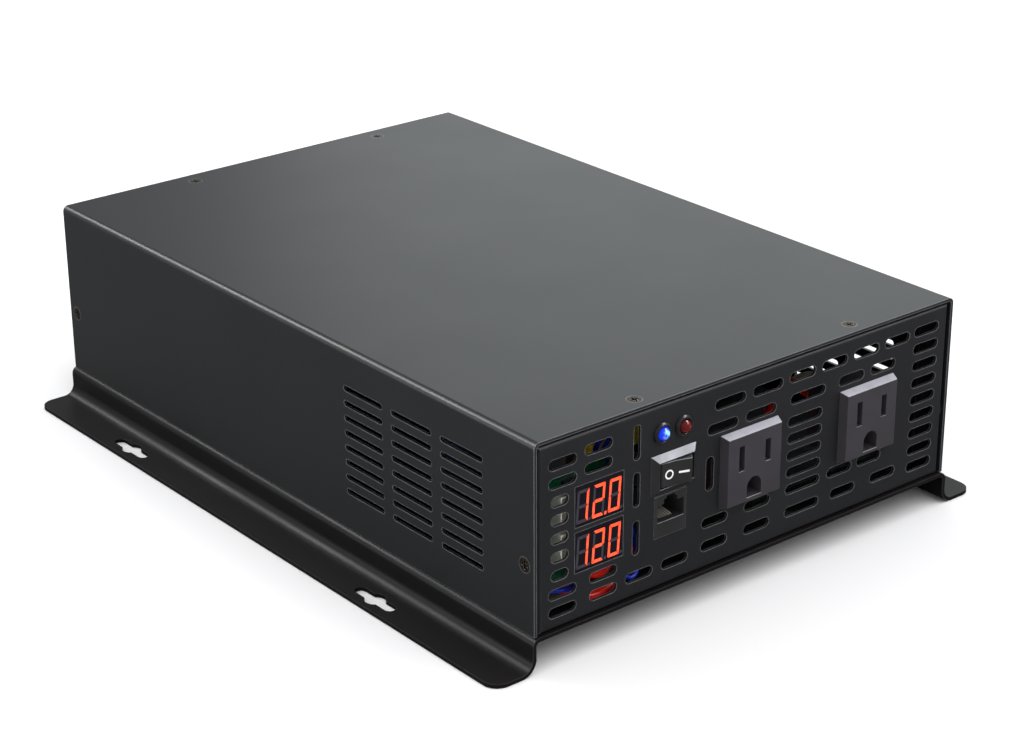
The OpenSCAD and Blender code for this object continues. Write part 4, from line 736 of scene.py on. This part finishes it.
def bladeShape(look, tip):  # a grid bent to a swept, cambered and twisted blade
    shape = bmesh.new()
    bmesh.ops.create_grid(shape, x_segments=9, y_segments=7, size=0.5)
    root = look["hubRadius"] - look["sunk"]
    for vert in shape.verts:
        out, across = vert.co.x + 0.5, vert.co.y
        radius = root + (tip - root) * out
        chord = math.radians(look["chord"] * (1 - look["taper"] * out))
        turn = across * chord + math.radians(look["sweep"]) * out * out
        rise = across * look["depth"] * (look["pitch"] - look["twist"] * out)
        rise += look["camber"] * (0.25 - across * across) * (0.5 + out)
        vert.co = Vector((radius * math.cos(turn), radius * math.sin(turn), rise)) * mm
    bmesh.ops.solidify(shape, geom=shape.faces[:], thickness=look["thick"] * mm)
    bmesh.ops.recalc_face_normals(shape, faces=shape.faces)
    return shape


def makeRotor(name, node, body, look):
    low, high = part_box(node)
    hub, depth, count = look["hubRadius"], look["depth"], look["blades"]
    bore, spindle, end = hub - look["hubWall"], look["spindleRadius"], -depth - look["spindleReach"]
    cup = lathe([(0, 0), (hub - 1.4, 0), (hub - 0.5, -0.35), (hub - 0.1, -1.2), (hub, -2.2), (hub, -depth),
                 (bore, -depth), (bore, -1.6), (spindle, -1.6), (spindle, end), (0, end)], 56)
    inner, outer = look["ring"]
    ring = lathe([(inner, -0.2), (outer, -0.2), (outer, 0.12), (inner, 0.12), (inner, -0.2)], 48)
    blade = bladeShape(look, (high.x - low.x) / 2 / mm - look["tipGap"])
    bmesh.ops.translate(blade, vec=(0, 0, -(depth / 2 + look["setBack"]) * mm), verts=blade.verts)
    bmesh.ops.spin(blade, geom=blade.verts[:] + blade.edges[:] + blade.faces[:], cent=(0, 0, 0),
                   axis=(0, 0, 1), angle=math.tau * (count - 1) / count, steps=count - 1, use_duplicate=True)
    place = Vector(((low.x + high.x) / 2, high.y, (low.z + high.z) / 2))
    rotor = move(joinShapes([cup, ring, blade]), facing((0, 1, 0), place))
    addPiece(name, rotor, "fanPlastic", body, [node])


makeRotor("rotorLeft", "fan_rotor_left", "rotor_left", rotorLook)
makeRotor("rotorRight", "fan_rotor_right", "rotor_right", rotorLook)

# radii in mm of the wire, its rings and the screw eyes; the arms lie behind the rings
guardLook = {"wire": 0.85, "rings": (8, 15, 22, 28.5), "eyeRadius": 3.8, "eyeBore": 2.05, "armDrop": 0.5,
             "armOverlap": 0.8, "gap": 0.05}


def ringShape(radius, wire, height):
    shape = bmesh.new()
    made = bmesh.ops.create_circle(shape, segments=10, radius=wire * mm)["verts"]
    bmesh.ops.rotate(shape, cent=(0, 0, 0), matrix=Matrix.Rotation(math.radians(90), 3, "X"), verts=made)
    bmesh.ops.translate(shape, vec=(radius * mm, 0, height * mm), verts=made)
    bmesh.ops.spin(shape, geom=shape.verts[:] + shape.edges[:], cent=(0, 0, 0), axis=(0, 0, 1),
                   angle=math.tau, steps=64, use_merge=True)
    bmesh.ops.remove_doubles(shape, verts=shape.verts, dist=weld)
    bmesh.ops.recalc_face_normals(shape, faces=shape.faces)
    return shape


def armShape(turn, wire, length, height):
    bar = bmesh.new()
    bmesh.ops.create_cone(bar, cap_ends=True, segments=12, radius1=wire * mm, radius2=wire * mm,
                          depth=length * mm)
    flat = Matrix.Rotation(math.radians(turn), 4, "Z") @ Matrix.Rotation(math.radians(90), 4, "Y")
    return move(bar, Matrix.Translation((0, 0, height * mm)) @ flat)


def eyeShape(look, depth):
    eye, bore = look["eyeRadius"], look["eyeBore"]
    return lathe([(bore, 0), (eye - 0.3, 0), (eye, 0.3), (eye, depth - 0.6), (eye - 0.2, depth - 0.2),
                  (eye - 0.6, depth), (bore + 0.2, depth), (bore, depth - 0.2), (bore, 0)], 28)


def makeGuards(name, node, look):
    low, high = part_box(node)
    depth, eye, wire = (high.y - low.y) / mm, look["eyeRadius"], look["wire"]
    half = (high.z - low.z) / 2 / mm - eye  # from the middle to a screw
    height = depth - wire - look["gap"]
    arm = 2 * (half * math.sqrt(2) - eye + look["armOverlap"])
    shapes = []
    for centre in (low.x + (half + eye) * mm, high.x - (half + eye) * mm):
        parts = [ringShape(radius, wire, height) for radius in look["rings"]]
        parts += [armShape(turn, wire, arm, height - look["armDrop"]) for turn in (45, 135)]
        for i, j in ((-1, -1), (-1, 1), (1, -1), (1, 1)):
            parts.append(move(eyeShape(look, depth), Matrix.Translation((i * half * mm, j * half * mm, 0))))
        spot = facing((0, 1, 0), (centre, low.y, (low.z + high.z) / 2))
        shapes.append(move(joinShapes(parts), spot))
    addPiece(name, joinShapes(shapes), "chrome", "case", [node], smooth=50)


makeGuards("fanGuards", "fan_guards", guardLook)
print("fans and guards made")

# the relief groove's place is from the tip; crest is the share of the pitch that is flat on top
threadLook = {"pitch": 1.25, "depth": 0.62, "crest": 0.16, "start": 0.3, "end": 0.9, "groove": 9.5,
              "grooveHalf": 1.0, "tipRound": 0.6}


def makeStud(name, node, look):
    low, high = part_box(node)
    length, radius = (high.y - low.y) / mm, (high.x - low.x) / 2 / mm
    root, pitch, height = radius - look["depth"], look["pitch"], look["start"]
    crest = look["crest"] * pitch
    tip = look["tipRound"]
    points = [(0, 0), (root, 0)]
    while height + pitch < length - look["end"]:
        middle = height + pitch / 2
        if abs(middle - length + look["groove"]) < look["grooveHalf"]:
            points += [(root, height), (root, height + pitch)]
        else:
            points += [(root, height), (radius, middle - crest / 2), (radius, middle + crest / 2)]
        height += pitch
    points += [(root, height), (root, length - tip), (root - tip, length), (0, length)]
    place = Vector(((low.x + high.x) / 2, low.y, (low.z + high.z) / 2))
    stud = move(lathe(points, 40), facing((0, 1, 0), place))
    addPiece(name, stud, "brass", "case", [node], weighted=False)


makeStud("studPositive", "stud_positive", threadLook)
makeStud("studNegative", "stud_negative", threadLook)

# radius in mm; grid is how many stand along X and along Y
capacitors = {
    "inputCapacitors": {"node": "input_capacitors", "sleeve": "capacitorSleeve", "radius": 8.0,
                        "grid": (6, 2)},
    "busCapacitors": {"node": "bus_capacitors", "sleeve": "busSleeve", "radius": 12.5, "grid": (2, 1)},
}


def canShape(radius, tall):  # a sleeved can with a crimp at its foot and a bare top
    lid = radius - 1.6
    can = lathe([(0, 0), (radius - 0.8, 0), (radius, 0.8), (radius, 2.2), (radius - 0.7, 2.9),
                 (radius - 0.7, 3.5), (radius, 4.2), (radius, tall - 1.0), (radius - 0.3, tall - 0.3),
                 (radius - 1.0, tall), (lid, tall), (lid - 0.3, tall - 0.6), (0, tall - 0.6)], 32)
    for face in can.faces:
        if face.calc_center_median().xy.length < lid * mm and face.normal.z > 0.5:
            face.material_index = 1
    return can


def makeCapacitors(name, look):
    low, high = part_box(look["node"])
    edge = look["radius"] * mm
    columns, rows = look["grid"]
    shapes = []
    for i in range(columns):
        for j in range(rows):
            x = low.x + edge + (high.x - low.x - 2 * edge) * i / max(1, columns - 1)
            y = low.y + edge + (high.y - low.y - 2 * edge) * j / max(1, rows - 1)
            can = canShape(look["radius"], (high.z - low.z) / mm)
            shapes.append(move(can, Matrix.Translation((x, y, low.z))))
    addPiece(name, joinShapes(shapes), [look["sleeve"], "canAluminium"], "case", [look["node"]])


for name, look in capacitors.items():
    makeCapacitors(name, look)

# wire and bend are radii in mm, core is the ring's section
chokeLook = {"turns": 34, "wire": 0.85, "core": 11, "bend": 1.0, "gap": 0.2}


def makeChokeWinding(look):
    low, high = (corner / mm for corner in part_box("choke_winding"))
    middle, wire, bend = (low + high) / 2, look["wire"], look["bend"]
    bottom, top = low.z + wire, high.z - wire
    outer = (high.x - low.x) / 2 - wire
    inner = outer - look["core"] - 2 * wire - look["gap"]
    section = [(inner, bottom + bend), (inner, top - bend), (inner + bend, top), (outer - bend, top),
               (outer, top - bend), (outer, bottom + bend), (outer - bend, bottom), (inner + bend, bottom)]
    routes = []
    for k in range(look["turns"]):
        turn = math.tau * k / look["turns"]
        x, y = math.cos(turn), math.sin(turn)
        routes.append([(middle.x + x * r, middle.y + y * r, z) for r, z in section])
    addPiece("chokeWinding", wireShape(routes, wire, cyclic=True, sides=1), "enamelWire", "case",
             ["choke_winding"], smooth=60)


makeChokeWinding(chokeLook)

print("studs and board parts made")

# pieces whose CAD mesh stays get their finish; the main board is darker than the meters' board
keptNodes = [node for node in sorted(frame["nodes"]) if not frame["nodes"][node].hide_render]
for node in keptNodes:
    finish = "powerBoard" if node == "main_board" else finishOfSlot[slotOfNode[node]]
    frame["nodes"][node].material_slots[0].material = paint[finish]
print("CAD pieces painted,", len(keptNodes))

# the share of the floor and the sky that polished surfaces mirror is kept low, so that dark paint stays dark
stageLook = {"floor": (0.86, 0.86, 0.87), "tone": 0.015, "grain": 4.0, "patch": 400.0, "rough": 0.9,
             "specular": 0.1, "size": 6.0, "drop": 0.0002, "mirrored": 0.14, "worldColor": (1.0, 1.0, 1.0),
             "worldStrength": 0.85, "worldMirrored": 0.40}


def makeFloor(look):
    made, tree, shader = startMaterial("floorPaint")
    mottle = placeGroup(tree, "grain", {"Size": look["grain"], "Patch": look["patch"]})["Mottle"]
    color = mixColors(tree, mottle, shaded(look["floor"], 1 - look["tone"]),
                      shaded(look["floor"], 1 + look["tone"]))
    glossy = addNode(tree, "ShaderNodeLightPath").outputs["Is Glossy Ray"]
    color = mixColors(tree, glossy, color, shaded(look["floor"], look["mirrored"]))
    tree.links.new(color, shader.inputs["Base Color"])
    shader.inputs["Roughness"].default_value = look["rough"]
    shader.inputs["Specular IOR Level"].default_value = look["specular"]
    mesh = bpy.data.meshes.new("floor")
    shape = bmesh.new()
    bmesh.ops.create_grid(shape, x_segments=2, y_segments=2, size=look["size"])
    shape.to_mesh(mesh)
    shape.free()
    mesh.materials.append(made)
    floor = bpy.data.objects.new("floor", mesh)
    floor.location.z = -look["drop"]
    bpy.context.scene.collection.objects.link(floor)


def makeWorld(look):
    world = bpy.data.worlds.new("studio")
    world.use_nodes = True
    tree = world.node_tree
    glossy = addNode(tree, "ShaderNodeLightPath").outputs["Is Glossy Ray"]
    color = mixColors(tree, glossy, shaded(look["worldColor"]),
                      shaded(look["worldColor"], look["worldMirrored"]))
    background = tree.nodes["Background"]
    tree.links.new(color, background.inputs["Color"])
    background.inputs["Strength"].default_value = look["worldStrength"]
    bpy.context.scene.world = world


# place, target and the softbox's size in metres, power in watts; a sheen light shows only in reflections
white, lilacWhite, iceWhite = (1.0, 1.0, 1.0), (0.96, 0.95, 1.0), (0.93, 0.99, 1.0)
lights = {
    "backRight": {"place": (1.70, 1.10, 0.80), "target": (0.08, -0.08, 0.08), "size": (1.9, 1.0),
                  "power": 6.5, "color": iceWhite, "sheen": True},
    "overRight": {"place": (0.92, -0.36, 1.30), "target": (0.02, -0.16, 0.06), "size": (0.6, 0.5),
                  "power": 16, "color": lilacWhite, "sheen": True},
    "frontRight": {"place": (0.84, -1.00, 1.02), "target": (-0.04, -0.16, 0.06), "size": (0.7, 0.5),
                   "power": 12, "color": lilacWhite, "sheen": True},
    "leftEdge": {"place": (-0.80, 1.20, 1.07), "target": (-0.1, 0.0, 0.08), "size": (1.3, 0.3),
                 "power": 19, "color": white, "sheen": True},
    "leftLow": {"place": (-1.75, 0.65, 0.26), "target": (-0.1, -0.12, 0.05), "size": (1.2, 0.4),
                "power": 11, "color": white, "sheen": True},
    "overhead": {"place": (0.2, -0.9, 1.6), "target": (0.0, -0.05, 0.04), "size": (1.8, 1.8),
                 "power": 24, "color": white, "sheen": False},
    "rearFill": {"place": (-0.2, 1.5, 1.1), "target": (0.0, 0.16, 0.05), "size": (1.5, 1.2),
                 "power": 16, "color": white, "sheen": False},
}


def makeLight(name, look):
    lamp = bpy.data.lights.new(name, "AREA")
    lamp.shape = "RECTANGLE"
    lamp.size, lamp.size_y = look["size"]
    lamp.energy, lamp.color = look["power"], look["color"]
    holder = bpy.data.objects.new(name, lamp)
    place, target = Vector(look["place"]), Vector(look["target"])
    holder.location = place
    holder.rotation_euler = (target - place).to_track_quat("-Z", "Y").to_euler()
    holder.visible_camera = False
    holder.visible_diffuse = not look["sheen"]
    holder.visible_glossy = look["sheen"]
    bpy.context.scene.collection.objects.link(holder)


# place in metres from the middle of the cover's front edge, on the floor; angles in degrees, lens in mm
cameraLook = {"place": (-0.5636, -0.5579, 0.4216), "azimuth": -39.18, "elevation": 23.36, "roll": -0.31,
              "lens": 86.6, "sensor": 36.0, "clip": (0.05, 50)}


def makeCamera(look):
    turn, rise, roll = (math.radians(look[key]) for key in ("azimuth", "elevation", "roll"))
    back = Vector((math.sin(turn) * math.cos(rise), -math.cos(turn) * math.cos(rise), math.sin(rise)))
    level = Vector((math.cos(turn), math.sin(turn), 0))
    right = level * math.cos(roll) + back.cross(level) * math.sin(roll)
    data = bpy.data.cameras.new("camera")
    data.lens, data.sensor_width = look["lens"], look["sensor"]
    data.clip_start, data.clip_end = look["clip"]
    camera = bpy.data.objects.new("camera", data)
    place = Vector((0, caseFront, 0)) + Vector(look["place"])
    turned = Matrix((right, back.cross(right), back)).transposed().to_4x4()
    camera.matrix_world = Matrix.Translation(place) @ turned
    bpy.context.scene.collection.objects.link(camera)
    bpy.context.scene.camera = camera


makeFloor(stageLook)
makeWorld(stageLook)
for name, look in lights.items():
    makeLight(name, look)
makeCamera(cameraLook)
bpy.context.scene.view_settings.view_transform = "Standard"
print("stage, lights and camera made")
